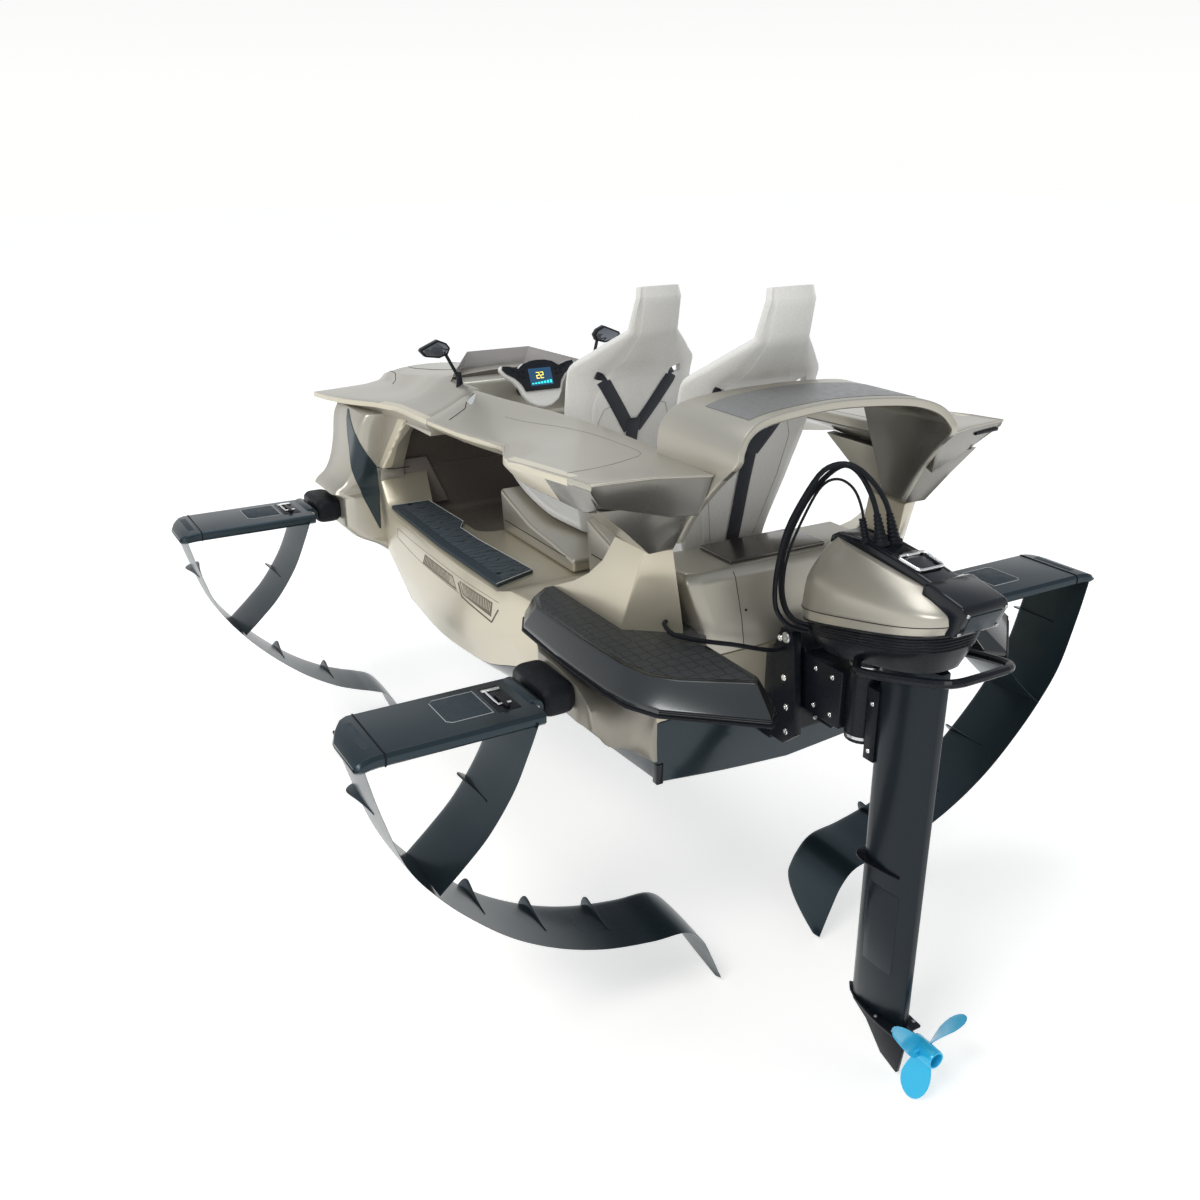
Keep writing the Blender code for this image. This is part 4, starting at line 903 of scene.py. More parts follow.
# Panel on the front wall of the leg space: y and z, and its x
FOOT_PANEL = ((0.440, 0.095), (0.215, 0.095), (0.300, 0.285), (0.440, 0.285))
FOOT_PANEL_X = (0.912, 0.935)
# Join of the fore deck with the hull under the screen pillar
BOW_JOINT = ((0.940, 0.492, 0.2605), (0.906, 0.474, 0.2605), (0.888, 0.440, 0.2605),
             (0.886, 0.380, 0.2605))
OVERHEAD = 0.9


def deck_line(name, skin, line, side, radius=0.0016, mat=SEAM):
    """Fine line on a deck along points of x and y."""
    seams(name, skin, [[(x, y * side, OVERHEAD) for x, y in line]], DOWN, "hull", radius, mat)


def bow_lines(skin, side):
    bar("bow_joint", on_side(BOW_JOINT, side), 0.0022, SEAM, "hull", step=0.02)
    # Painted highlight: a paler patch along the screen pillar
    patch("screen_pillar_highlight", skin, *PILLAR_EDGES, (0.5, -0.86, 0.0), PAINTED_HIGHLIGHT, "hull", side, 0.004)
    panel = mirrored(prism("well_panel", FOOT_PANEL, *FOOT_PANEL_X, "x"), side)
    dress(bevel(panel, 0.006), WELL_PANEL, "hull")
    for line in HOOD_LINES:
        deck_line("hood_line", skin, line, side)


# Station: x, lip half beam, lip z, coaming half beam, coaming z, edge depth, inner depth
WING_STATIONS = (
    (0.50, 0.455, 0.508, 0.275, 0.612, 0.030, 0.072),
    (0.25, 0.450, 0.518, 0.282, 0.628, 0.030, 0.076),
    (0.00, 0.452, 0.540, 0.290, 0.648, 0.032, 0.078),
    (-0.15, 0.475, 0.562, 0.295, 0.660, 0.036, 0.074),
    (-0.35, 0.570, 0.592, 0.305, 0.672, 0.045, 0.066),
    (-0.54, 0.645, 0.628, 0.315, 0.682, 0.052, 0.062),
    (-0.72, 0.656, 0.652, 0.328, 0.687, 0.065, 0.090),
    (-0.88, 0.657, 0.668, 0.346, 0.690, 0.075, 0.118),
)
WING_REAR = ((-0.990, 0.655, 0.676), (-0.994, 0.655, 0.694), (-1.022, 0.500, 0.698),
             (-1.048, 0.358, 0.690), (-1.020, 0.376, 0.585), (-0.950, 0.440, 0.572),
             (-0.945, 0.600, 0.616))
WING_LIP_REAR = ((-0.992, 0.653, 0.694), (-1.020, 0.500, 0.698), (-1.046, 0.360, 0.690))
# Lines on a wing as x and y: the inner panel's edge, the join with the fore deck
WING_LINE = ((-0.835, 0.632), (-0.812, 0.500), (-0.790, 0.405), (-0.772, 0.386), (-0.740, 0.378),
             (-0.450, 0.362), (-0.100, 0.352), (0.100, 0.347))
FOREDECK_JOIN = ((0.455, 0.270), (0.462, 0.292), (0.430, 0.335), (0.392, 0.356), (0.380, 0.420))
# Edges of a pale patch beside the join, a painted highlight
DECK_HIGHLIGHT_EDGES = (((0.452, 0.292, 0.66), (0.425, 0.300, 0.66), (0.385, 0.330, 0.65)),
                  ((0.450, 0.296, 0.66), (0.440, 0.330, 0.65), (0.388, 0.338, 0.65)))
# Strip on the starboard wing's side: x and z
RUB_STRIP = ((-0.640, 0.650), (-0.992, 0.668))


def wing_section(points):
    """Ring of a wing, curved over its top and straight below."""
    return [points[0], *section(points[1:4], (), 5), *points[4:]]


def wings():
    rings = []
    for x, yl, zl, yc, zc, edge, inner in WING_STATIONS:
        ym = 0.5 * (yl + yc)
        zm = 0.5 * (zl + zc) - 0.008
        rings.append(wing_section([(x, yl, zl), (x, yl, zl + LIP_DEPTH), (x, ym, zm + 0.012),
                                   (x, yc, zc), (x, yc, zc - 0.03),
                                   (x, yc + 0.09, zc - inner - 0.005), (x, yl - 0.045, zl - edge)]))
    rings = denser(rings + [wing_section(WING_REAR)], 4)
    for name, side in SIDES:
        skin = loft("wing_skin", [on_side(ring, side) for ring in rings])
        dress(bevel(skin, 0.004), CHAMPAGNE, "hull", "wing_deck_" + name, smooth=16.0)
        # Painted shade on the rear underside of the wing, on faces that turn down
        shaded(skin, PAINTED_SHADE, lambda middle, normal: middle.x < -0.50 and normal.z < -0.12)
        # Painted highlight on the wing's lip faces
        shaded(skin, PAINTED_HIGHLIGHT, lip_rule(WING_STATIONS, 1, 2, 0.026, 0.034, 0.020))
        bracket_skin = soften("wing_bracket_" + name, CHAMPAGNE, 0.005, 3, 20.0, 20.0)
        # Painted shade on the bracket's faces that turn aft
        shaded(bracket_skin, PAINTED_SHADE, lambda middle, normal: normal.x < -0.25)
        soften("quarter_" + name, BEIGE, 0.004, 3, 20.0, 20.0)
        wing_details(skin, side)


def wing_details(skin, side):
    lip = [(row[0], row[1] - 0.002, row[2] + 0.0165) for row in WING_STATIONS]
    lip += [(x, y, z - 0.0015) for x, y, z in WING_LIP_REAR]
    bar("wing_lip", on_side(lip, side), 0.0032, CHAMPAGNE, "hull", 10, 0.03)
    deck_line("wing_line", skin, WING_LINE, side, 0.0009, LINE_GREY)
    deck_line("foredeck_join", skin, FOREDECK_JOIN, side)
    # Painted highlight: a pale patch beside the fore deck join
    patch("deck_highlight", skin, *DECK_HIGHLIGHT_EDGES, DOWN, PALE_TRIM_AND_HIGHLIGHT, "hull", side)
    if side < 0:
        strip = [(x, side * 0.9, z) for x, z in RUB_STRIP]
        seams("rub_strip", skin, [strip], (0, -side, 0), "hull", 0.006, RUBBER)


# Arch half: y, z, front x, rear x
ARCH_HALF = (
    (0.000, 0.826, -0.790, -1.050), (0.130, 0.822, -0.785, -1.060), (0.240, 0.812, -0.780, -1.075),
    (0.303, 0.792, -0.778, -1.098), (0.336, 0.760, -0.780, -1.114), (0.350, 0.725, -0.785, -1.118),
    (0.360, 0.665, -0.800, -1.060), (0.374, 0.580, -0.825, -0.990), (0.382, 0.490, -0.850, -0.935),
)
ARCH_WALL = 0.024
# Grip panel on the arch: front x, rear x, y
ARCH_PAD = ((-0.868, -1.046, 0.262), (-0.852, -1.038, 0.200), (-0.842, -1.032, 0.120),
            (-0.838, -1.026, 0.0), (-0.842, -1.032, -0.120), (-0.852, -1.038, -0.200),
            (-0.868, -1.046, -0.262))
ARCH_PAD_Z = 0.82


def arch():
    full = [(-y, z, a, b) for y, z, a, b in reversed(ARCH_HALF)] + list(ARCH_HALF[1:])
    line = curve_points(full, 4)
    rings = []
    for i, (y, z, front, rear) in enumerate(line):
        before = line[max(i - 1, 0)]
        after = line[min(i + 1, len(line) - 1)]
        along = Vector((after[0] - before[0], after[1] - before[1])).normalized()
        inner = (y + along.y * ARCH_WALL, z - along.x * ARCH_WALL)
        rings.append([(front, y, z), (rear, y, z), (rear + 0.004, *inner), (front - 0.004, *inner)])
    skin = bevel(loft("arch_skin", rings), 0.006, 3, 40.0)
    dress(skin, CHAMPAGNE, "hull", "rear_arch", smooth=30.0)
    # Painted shade on the arch's inner faces, which turn toward the cockpit
    shaded(skin, PAINTED_SHADE, lambda middle, normal: normal.x ** 2 < 0.5
           and normal.y * middle.y + normal.z * (middle.z - 0.55) < 0.0)
    patch("arch_grip", skin, [(x, y, ARCH_PAD_Z) for x, _, y in ARCH_PAD],
          [(x, y, ARCH_PAD_Z) for _, x, y in ARCH_PAD], DOWN, ARCH_GRIP, "hull")


# Foils: outer struts and tails as y and z; the rear ones reach further inboard

FOIL_X = {"front": 1.027, "rear": -0.82}
HINGE_Y = 0.745
HINGE_Z = 0.100
FOIL_FORE = 0.10
FOIL_AFT = 0.12
BLADE_HALF = 0.007
STRUT_PATH = ((1.214, 0.098), (1.206, 0.060), (1.180, -0.040), (1.130, -0.190), (1.055, -0.303),
              (0.960, -0.408), (0.850, -0.505))
TAIL_PATHS = {
    "front": ((0.740, -0.577), (0.655, -0.616), (0.590, -0.640), (0.532, -0.668), (0.492, -0.722),
              (0.466, -0.790), (0.445, -0.862)),
    "rear": ((0.720, -0.585), (0.580, -0.642), (0.430, -0.675), (0.318, -0.688), (0.262, -0.735),
             (0.225, -0.810), (0.188, -0.900)),
}
BAND_PATH = ((0.772, 0.100), (0.800, 0.030), (0.846, -0.070), (0.915, -0.170), (0.985, -0.240),
             (1.052, -0.299))
# Share of the path's points where fences stand on the struts and tails
FENCES = {"front": (0.169, 0.423, 0.554), "rear": (0.169, 0.423, 0.533, 0.640)}
BAND_FENCE = 0.507
# Half section of the blades: share of the chord from the nose, share of the half thickness
SECTION = ((0.0, 0.0), (0.006, 0.30), (0.02, 0.52), (0.05, 0.74), (0.10, 0.88), (0.20, 0.98),
           (0.35, 1.0), (0.55, 0.84), (0.75, 0.56), (0.90, 0.27), (1.0, 0.07))
# Fence outline: share of the chord, and height over the blade's middle
FENCE = ((-0.075, 0.0), (-0.068, 0.012), (-0.045, 0.021), (-0.010, 0.026), (0.040, 0.0265),
         (0.110, 0.024), (0.220, 0.019), (0.360, 0.014), (0.520, 0.0095), (0.660, 0.0065))
FENCE_HALF = 0.0022
# Arm rings: y, front and rear x from the foil's middle, top and low z
ARM_RINGS = (
    (HINGE_Y + 0.004, 0.125, -0.115, 0.120, 0.086), (1.176, 0.125, -0.115, 0.120, 0.086),
    (1.196, 0.112, -0.118, 0.1195, 0.086), (1.210, 0.090, -0.122, 0.118, 0.086),
    (1.222, 0.070, -0.123, 0.1145, 0.086), (1.230, 0.052, -0.122, 0.110, 0.087),
    (1.237, 0.035, -0.118, 0.105, 0.090),
)
ARM_ROUND = 0.009
ARM_TOP = 0.120
# Hinge knuckle: x of its ends from the foil's middle
KNUCKLE_X = (-0.045, 0.110)
TIP_START = 0.90
TIP_SWEEP = 0.19


def tip_sweep(t):
    return 0.0 if t < TIP_START else TIP_SWEEP * ((t - TIP_START) / (1 - TIP_START)) ** 2


def blade_frames(path, steps):
    """Points along a blade, the way it runs there and the way its thickness goes."""
    line = curve_points(path, steps)
    out = []
    for i, p in enumerate(line):
        along = (line[min(i + 1, len(line) - 1)] - line[max(i - 1, 0)]).normalized()
        out.append((p, along, Vector((-along.y, along.x))))
    return out


def blade(name, path, x, sweep=None):
    """Blade of foil section along a path, around the foil's middle x."""
    frames = blade_frames(path, 8)
    rings = []
    for i, (p, _, n) in enumerate(frames):
        lead = x + FOIL_FORE - (sweep(i / (len(frames) - 1)) if sweep else 0.0)
        chord = lead - (x - FOIL_AFT)
        rings.append([(lead - chord * c, p.x + n.x * BLADE_HALF * h, p.y + n.y * BLADE_HALF * h)
                      for c, h in both(SECTION)])
    return loft(name, rings)


def fence(path, share, x):
    """Thin plate wrapped round the nose of a blade, tapering back along it."""
    dense = blade_frames(path, 30)
    p, along, n = dense[int(share * len(dense))]
    fore = x + FOIL_FORE
    chord = FOIL_FORE + FOIL_AFT
    rings = []
    for offset in (-FENCE_HALF, FENCE_HALF):
        centre = p + along * offset
        rings.append([(fore - chord * c, centre.x + n.x * h, centre.y + n.y * h)
                      for c, h in both(FENCE)])
    return bevel(loft("fence", rings), 0.0014, 2)


def arm(x):
    rings = []
    for y, front, rear, top, low in ARM_RINGS:
        a = x + front
        b = x + rear
        r = ARM_ROUND
        rings.append([(a, y, low + r), (a, y, top - r), (a - r, y, top), (b + r, y, top),
                      (b, y, top - r), (b, y, low + r), (b + r, y, low), (a - r, y, low)])
    return bevel(loft("arm", rings), 0.004, 3, 25.0)


def foil(end, side_name, side):
    x = FOIL_X[end]
    body = "foil_%s_%s" % (end, side_name)
    path = STRUT_PATH + TAIL_PATHS[end]
    knuckle = tube("knuckle", [(x + dx, HINGE_Y, HINGE_Z) for dx in KNUCKLE_X], 0.026, 32)
    parts = [blade("strut", path, x, tip_sweep), blade("band", BAND_PATH, x), arm(x),
             bevel(knuckle, 0.003, 3, 50.0), fence(BAND_PATH, BAND_FENCE, x)]
    parts += [fence(path, share, x) for share in FENCES[end]]
    whole = mirrored(merged(body + "_skin", parts), side)
    dress(whole, FOIL_PAINT, body, body, smooth=32.0)
    foil_fittings(x, side, body)


# Fittings on an arm from the foil's middle: bail and panel edge as x and y, cap joint as x and z
BAIL = ((-0.022, 0.800), (-0.022, 0.834), (0.062, 0.834), (0.062, 0.800))
ARM_PANEL = ((-0.046, 0.858), (-0.046, 0.966), (-0.034, 0.978), (0.074, 0.978), (0.086, 0.966),
             (0.086, 0.858))
CAP_JOINT = ((0.118, 0.0865), (0.126, 0.096), (0.126, 0.110), (0.116, 0.1206), (-0.106, 0.1206),
             (-0.116, 0.110), (-0.116, 0.096), (-0.108, 0.0865))
CAP_Y = 1.160


def foil_fittings(x, side, body):
    """Latch, recessed panel, cap joint and pin of a folding arm."""
    def box(name, low, high, radius, mat):
        (x0, y0, z0), (x1, y1, z1) = low, high
        corners = (x + x0, y0, ARM_TOP + z0), (x + x1, y1, ARM_TOP + z1)
        return painted(rounded_box(name, *corners, radius), mat)

    bail = [(x + dx, y, ARM_TOP + 0.005) for dx, y in BAIL]
    panel = [(x + dx, y) for dx, y in ARM_PANEL]
    slab = prism("panel", panel, ARM_TOP - 0.004, ARM_TOP + 0.0006)
    rim = [(a, y, ARM_TOP + 0.0004) for a, y in panel + panel[:1]]
    parts = [
        box("latch", (-0.054, 0.784, -0.004), (0.090, 0.848, 0.0014), 0.004, CASTING),
        painted(tube("bail", spaced(bail, 0.02), 0.0036, 10), CHROME),
        box("lever", (-0.046, 0.812, 0.0), (0.030, 0.824, 0.011), 0.003, CASTING),
        box("keeper", (0.056, 0.792, 0.0), (0.068, 0.842, 0.0075), 0.002, CHROME),
        painted(bevel(slab, 0.0004, 2), STEP_RUBBER),
        painted(tube("panel_edge", rim, 0.0011, 6), STEEL),
        box("cap_face", (-0.070, 1.176, -0.004), (0.078, 1.199, 0.0008), 0.003, STEP_RUBBER),
        painted(tube("joint", [(x + dx, CAP_Y, z) for dx, z in CAP_JOINT], 0.0021), RUBBER),
    ]
    for dx, way in zip(reversed(KNUCKLE_X), SIGNS):
        parts.append(painted(head((x + dx, HINGE_Y, HINGE_Z), (way, 0, 0), 0.013, 0.005), CHROME))
    dress(mirrored(merged("foil_fittings", parts), side), CASTING, body)


# Platforms and step pads

PLATFORM_LOW = ((-0.43, 0.502), (-0.475, 0.578), (-0.55, 0.618), (-0.81, 0.629), (-1.00, 0.626),
                (-1.085, 0.613), (-1.165, 0.575), (-1.337, 0.380), (-1.30, 0.335), (-1.01, 0.335),
                (-0.96, 0.30), (-0.45, 0.300))
PLATFORM_TOP = ((-0.45, 0.500), (-0.50, 0.560), (-0.57, 0.590), (-0.82, 0.590), (-1.01, 0.579),
                (-1.093, 0.556), (-1.15, 0.505), (-1.251, 0.362), (-1.22, 0.335), (-1.01, 0.335),
                (-0.96, 0.30), (-0.45, 0.300))
PLATFORM_LEVELS = (0.1653, 0.186, 0.240)
# Points of the low outline along the outer edge, and at the corner with the ribs
EDGE_POINTS = 9
RIB_POINTS = slice(6, 8)
GRIP_INSET = 0.014
STEP_PAD = ((0.80, 0.494), (0.80, 0.345), (0.49, 0.338), (0.43, 0.375), (0.28, 0.375),
            (-0.08, 0.350), (-0.14, 0.506), (0.30, 0.512))
STEP_Z = (0.1353, 0.147)
# Rippled part of the step pad; its outer band is smooth
STEP_RIPPLES = ((0.765, 0.460), (0.775, 0.352), (0.488, 0.345), (0.432, 0.382), (0.28, 0.382),
                (-0.072, 0.357), (-0.118, 0.470), (0.30, 0.476))
STEP_FASTENERS = ((0.780, 0.430), (-0.060, 0.462))


def platform(name, side):
    outlines = (PLATFORM_LOW, PLATFORM_LOW, PLATFORM_TOP)
    rings = [[(x, side * y, z) for x, y in outline] for outline, z in zip(outlines, PLATFORM_LEVELS)]
    skin = bevel(loft("platform_skin", rings), 0.005, 3, 20.0)
    dress(skin, GRAPHITE_GLOSS, "hull", "platform_" + name)
    top = PLATFORM_LEVELS[2]
    plate("platform_grip", inset_outline(PLATFORM_TOP, GRIP_INSET), top - 0.001, top + 0.0016,
          0.0012, DECK_GRIP, "hull", side=side, segments=2)


def step(name, side):
    top = STEP_Z[1]
    plate("step_skin", STEP_PAD, *STEP_Z, 0.004, STEP_RUBBER, "hull", "step_pad_" + name, side=side)
    plate("step_grip", STEP_RIPPLES, top - 0.001, top + 0.0012, 0.0010, STEP_GRIP, "hull", side=side,
          segments=2)
    trim = [(x, y * side, top + 0.0008) for x, y in inset_outline(STEP_PAD, 0.002)[:-1]]
    dress(tube("step_border", trim, 0.0014, 6), PALE_TRIM_AND_HIGHLIGHT, "hull")
    places = [(x, y * side, top + 0.001) for x, y in STEP_FASTENERS]
    heads("step_fasteners", places, (0, 0, 1), 0.009, 0.0012, RUBBER, "hull")


def platform_edge(side):
    low = PLATFORM_LEVELS[0]
    outer = inset_outline(PLATFORM_LOW, -0.0012)[:EDGE_POINTS]
    edge = [(x, y * side, low + 0.004) for x, y in outer]
    bar("platform_edge", edge, 0.0045, RUBBER, "hull", step=0.03)
    ribs = []
    for rise in (0.010, 0.015, 0.020):
        line = [(x, y * side, low + rise) for x, y in PLATFORM_LOW[RIB_POINTS]]
        ribs.append(tube("rib", line, 0.0016, 6))
    dress(merged("platform_ribs", ribs), RUBBER, "hull", smooth=60.0)


# Foil mounts and boots

# Front mount by height: rear x, front x and outer half beam
HORN_LEVELS = (
    (-0.088, 0.940, 1.200, 0.455), (-0.050, 0.935, 1.200, 0.505), (-0.008, 0.935, 1.195, 0.582),
    (0.040, 0.935, 1.195, 0.6295), (0.152, 0.935, 1.200, 0.6295), (0.172, 0.938, 1.200, 0.667),
    (0.182, 0.942, 1.200, 0.662), (0.212, 0.940, 1.210, 0.622), (0.262, 0.935, 1.225, 0.590),
    (0.335, 0.935, 1.245, 0.566), (0.420, 0.935, 1.265, 0.548), (0.462, 0.935, 1.275, 0.525),
)
HORN_KNUCKLES = [3, 4, 5]
# Leaf panel that wraps from the outer face onto the aft face of the front mount: its two edges
LEAF_OUTER = ((1.115, 0.530, 0.455), (1.041, 0.562, 0.360), (0.948, 0.583, 0.249),
              (0.935, 0.556, 0.154), (0.935, 0.500, 0.022))
LEAF_INNER = ((1.110, 0.528, 0.456), (0.985, 0.530, 0.378), (0.935, 0.494, 0.267),
              (0.935, 0.490, 0.150), (0.935, 0.494, 0.020))
# Rear mount along its crease: hull edge, hollow, crease, lower edge and hull edge below
SCOOP = (
    ((-0.400, 0.430, 0.1645), (-0.410, 0.460, 0.160), (-0.420, 0.485, 0.150),
     (-0.420, 0.482, 0.090), (-0.400, 0.430, 0.070)),
    ((-0.550, 0.430, 0.1645), (-0.550, 0.530, 0.160), (-0.550, 0.580, 0.152),
     (-0.550, 0.565, 0.060), (-0.550, 0.430, 0.020)),
    ((-0.660, 0.430, 0.1645), (-0.660, 0.560, 0.157), (-0.660, 0.6297, 0.151),
     (-0.660, 0.6297, 0.045), (-0.660, 0.430, -0.010)),
    ((-0.760, 0.430, 0.1645), (-0.760, 0.555, 0.146), (-0.760, 0.6297, 0.149),
     (-0.760, 0.6297, 0.036), (-0.760, 0.430, -0.030)),
    ((-0.830, 0.430, 0.1645), (-0.840, 0.530, 0.108), (-0.868, 0.6297, 0.136),
     (-0.868, 0.6297, 0.034), (-0.830, 0.430, -0.045)),
    ((-0.880, 0.430, 0.162), (-0.888, 0.505, 0.070), (-0.918, 0.618, 0.086),
     (-0.908, 0.602, 0.014), (-0.860, 0.430, -0.062)),
    ((-0.910, 0.430, 0.140), (-0.910, 0.480, 0.040), (-0.916, 0.572, 0.020),
     (-0.894, 0.552, -0.046), (-0.880, 0.430, -0.080)),
    ((-0.930, 0.430, 0.105), (-0.926, 0.458, 0.018), (-0.912, 0.500, -0.026),
     (-0.896, 0.488, -0.072), (-0.900, 0.430, -0.090)),
    ((-0.949, 0.430, 0.060), (-0.949, 0.448, 0.002), (-0.949, 0.450, -0.055),
     (-0.949, 0.446, -0.095), (-0.949, 0.425, -0.100)),
)
SCOOP_KNUCKLES = [2, 4]
CORNER_GUARD = ((-0.9535, 0.416, -0.165), (-0.930, 0.4375, -0.104))
# Boot around a foil's hinge, x from the foil's middle
BOOT_X = (-0.052, 0.150)
BOOT_Y = (0.630, 0.7182)
BOOT_Z = (0.058, 0.146)
BOOT_ROUND = 0.030
BOOT_FLARE = 0.009
BOOT_SPANS = 8
CORNER_SPANS = 4


def horn(name, side):
    rings = []
    for z, x0, x1, y in HORN_LEVELS:
        aft = section([(x0, 0.40, z), (x0, y - 0.045, z), (x0 + 0.014, y - 0.010, z),
                       (x0 + 0.040, y, z), (x1 - 0.030, y, z)], (1, 3), 4)
        front = section([(x1 - 0.030, y, z), (x1 - 0.006, y - 0.016, z), (x1 + 0.016, y - 0.070, z),
                         (x1 + 0.020, 0.36, z)], (2,), 4)
        rings.append(on_side(aft + front[1:], side))
    skin = loft("horn_skin", denser(rings, 4, HORN_KNUCKLES))
    dress(bevel(skin, 0.004, 2, 40.0), CHAMPAGNE, "hull", "foil_mount_front_" + name, smooth=30.0)
    patch("horn_leaf", skin, LEAF_OUTER, LEAF_INNER, (0.8, -0.6, 0.0), SLATE, "hull", side, 0.0026)


def scoop(name, side):
    rings = [on_side(section(row[:3], (), 5)[:-1] + list(row[2:]), side) for row in SCOOP]
    skin = loft("scoop_skin", denser(rings, 5, SCOOP_KNUCKLES))
    dress(bevel(skin, 0.003, 2, 38.0), MOUNT_GREY, "hull", "foil_mount_rear_" + name, smooth=36.0)
    guard = rounded_box("corner_guard", *CORNER_GUARD, 0.003)
    dress(mirrored(guard, side), GLOSS_BLACK, "hull")


def boot(end, name, side):
    """Rounded sleeve that flares at both ends."""
    x = FOIL_X[end]
    r = BOOT_ROUND
    rings = []
    for t in (k / BOOT_SPANS for k in range(BOOT_SPANS + 1)):
        flare = BOOT_FLARE * (2.0 * t - 1.0) ** 4
        y = BOOT_Y[0] + (BOOT_Y[1] - BOOT_Y[0]) * t
        rear = x + BOOT_X[0] + flare + r
        front = x + BOOT_X[1] - flare - r
        low = BOOT_Z[0] + flare + r
        high = BOOT_Z[1] - flare - r
        ring = []
        corners = ((front, high, 0), (rear, high, 90), (rear, low, 180), (front, low, 270))
        for cx, cz, start in corners:
            for k in range(CORNER_SPANS + 1):
                angle = math.radians(start + 90 * k / CORNER_SPANS)
                ring.append((cx + r * math.cos(angle), side * y, cz + r * math.sin(angle)))
        rings.append(ring)
    skin = bevel(loft("boot_skin", denser(rings, 3)), 0.004, 2, 50.0)
    dress(skin, RUBBER, "hull", "boot_%s_%s" % (end, name))


# Seats

# Rows down the back and along the pan: x, z, half width, half width of the flat middle, and
# how far the side flanges turn in toward the sitter
SEAT_ROWS = ((-0.243, 1.018, 0.070, 0.060, 0.0), (-0.250, 0.985, 0.076, 0.064, 0.0),
             (-0.226, 0.880, 0.086, 0.070, 0.006), (-0.170, 0.800, 0.170, 0.110, 0.022),
             (-0.132, 0.750, 0.224, 0.158, 0.032), (-0.112, 0.640, 0.222, 0.156, 0.036),
             (-0.072, 0.480, 0.190, 0.132, 0.030), (-0.020, 0.260, 0.135, 0.090, 0.020),
             (0.000, 0.200, 0.130, 0.090, 0.016), (0.150, 0.215, 0.180, 0.130, 0.030),
             (0.320, 0.265, 0.195, 0.145, 0.030), (0.440, 0.325, 0.190, 0.145, 0.018))
SEAT_KNUCKLES = [1, 2]
BACK_ROWS = 8
SHELL_THICKNESS = 0.022
SPINE_RISE = 0.004
# Half width of the raised spine on the back, by height
SPINE = ((0.25, 0.150), (0.66, 0.150), (0.735, 0.120), (0.775, 0.078), (0.86, 0.055), (1.02, 0.054))
# Strap slot and the line beside the spine, as y and z
SLOT = ((0.106, 0.728), (0.158, 0.738), (0.150, 0.764), (0.118, 0.752))
SEAT_LINE = ((-0.075, 0.300), (-0.118, 0.480), (-0.128, 0.600), (-0.112, 0.640), (-0.070, 0.650))
# Each seat's shift in x and z from the rows above
SEATS = (("front", 0.0, 0.0), ("rear", -0.61, 0.06))
WEB_HALF = 0.021
WEB_THICKNESS = 0.0016
# Webbing section: share of the half width, share of the half thickness
WEB_SECTION = ((-1.0, -0.2), (-0.96, -1.0), (0.96, -1.0), (1.0, -0.2), (1.0, 0.2), (0.96, 1.0),
               (-0.96, 1.0), (-1.0, 0.2))
# Strap lines and the label on the rear seat, as y and z
SHOULDER = ((0.131, 0.742), (0.012, 0.566))
STEM_Z = (0.602, 0.262)
STITCH_HALF = 0.019
STITCHES_Z = (0.600, 0.5955)
LABEL = ((-0.046, 0.628), (0.046, 0.628), (0.024, 0.575), (0.0, 0.556), (-0.024, 0.575))


def seat_shell(label, dx, dz):
    rings = []
    for i, (x, z, wide, middle, flange) in enumerate(SEAT_ROWS):
        before = SEAT_ROWS[max(i - 1, 0)]
        after = SEAT_ROWS[min(i + 1, len(SEAT_ROWS) - 1)]
        along = Vector((after[0] - before[0], after[1] - before[1])).normalized()
        n = Vector((-along.y, along.x))
        ridge = 0.5 * middle
        rise = 0.0
        if i < BACK_ROWS:
            ridge = min(float(np.interp(z, *zip(*SPINE))), middle - 0.006)
            rise = SPINE_RISE
        half = [(0.0, -rise), (ridge - 0.004, -rise), (ridge, -0.5 * rise), (ridge + 0.003, 0.0),
                (middle, 0.0), (middle + 0.35 * (wide - middle), 0.30 * flange),
                (wide - 0.006, flange - 0.002), (wide, flange + 0.005),
                (wide, flange + SHELL_THICKNESS - 0.007), (wide - 0.007, flange + SHELL_THICKNESS),
                (middle + 0.30 * (wide - middle), 0.22 * flange + SHELL_THICKNESS),
                (middle - 0.01, SHELL_THICKNESS), (0.0, SHELL_THICKNESS)]
        rings.append(mirror_half([(x + n.x * d + dx, y, z + n.y * d + dz) for y, d in half]))
    skin = loft("seat_skin_" + label, denser(rings, 6, SEAT_KNUCKLES))
    for sign in SIGNS:
        outline = [(sign * y, z + dz) for y, z in SLOT]
        slot = bevel(prism("cutter", outline, -0.30 + dx, 0.05 + dx, "x"), 0.003, 2)
        combine(skin, slot, "DIFFERENCE")
    return dress(bevel(skin, 0.0022, 2, 40.0), SHELL, "hull", "seat_" + label, smooth=45.0)


def strap(name, points, normals, half):
    """Flat webbing along points, each with the surface's normal under it."""
    rings = []
    for i, (p, n) in enumerate(zip(points, normals)):
        ahead = (points[min(i + 1, len(points) - 1)] - points[max(i - 1, 0)]).normalized()
        across = n.cross(ahead).normalized() * half
        up = n * (0.5 * WEB_THICKNESS)
        rings.append([tuple(p + across * a + up * b) for a, b in WEB_SECTION])
    return loft(name, rings)


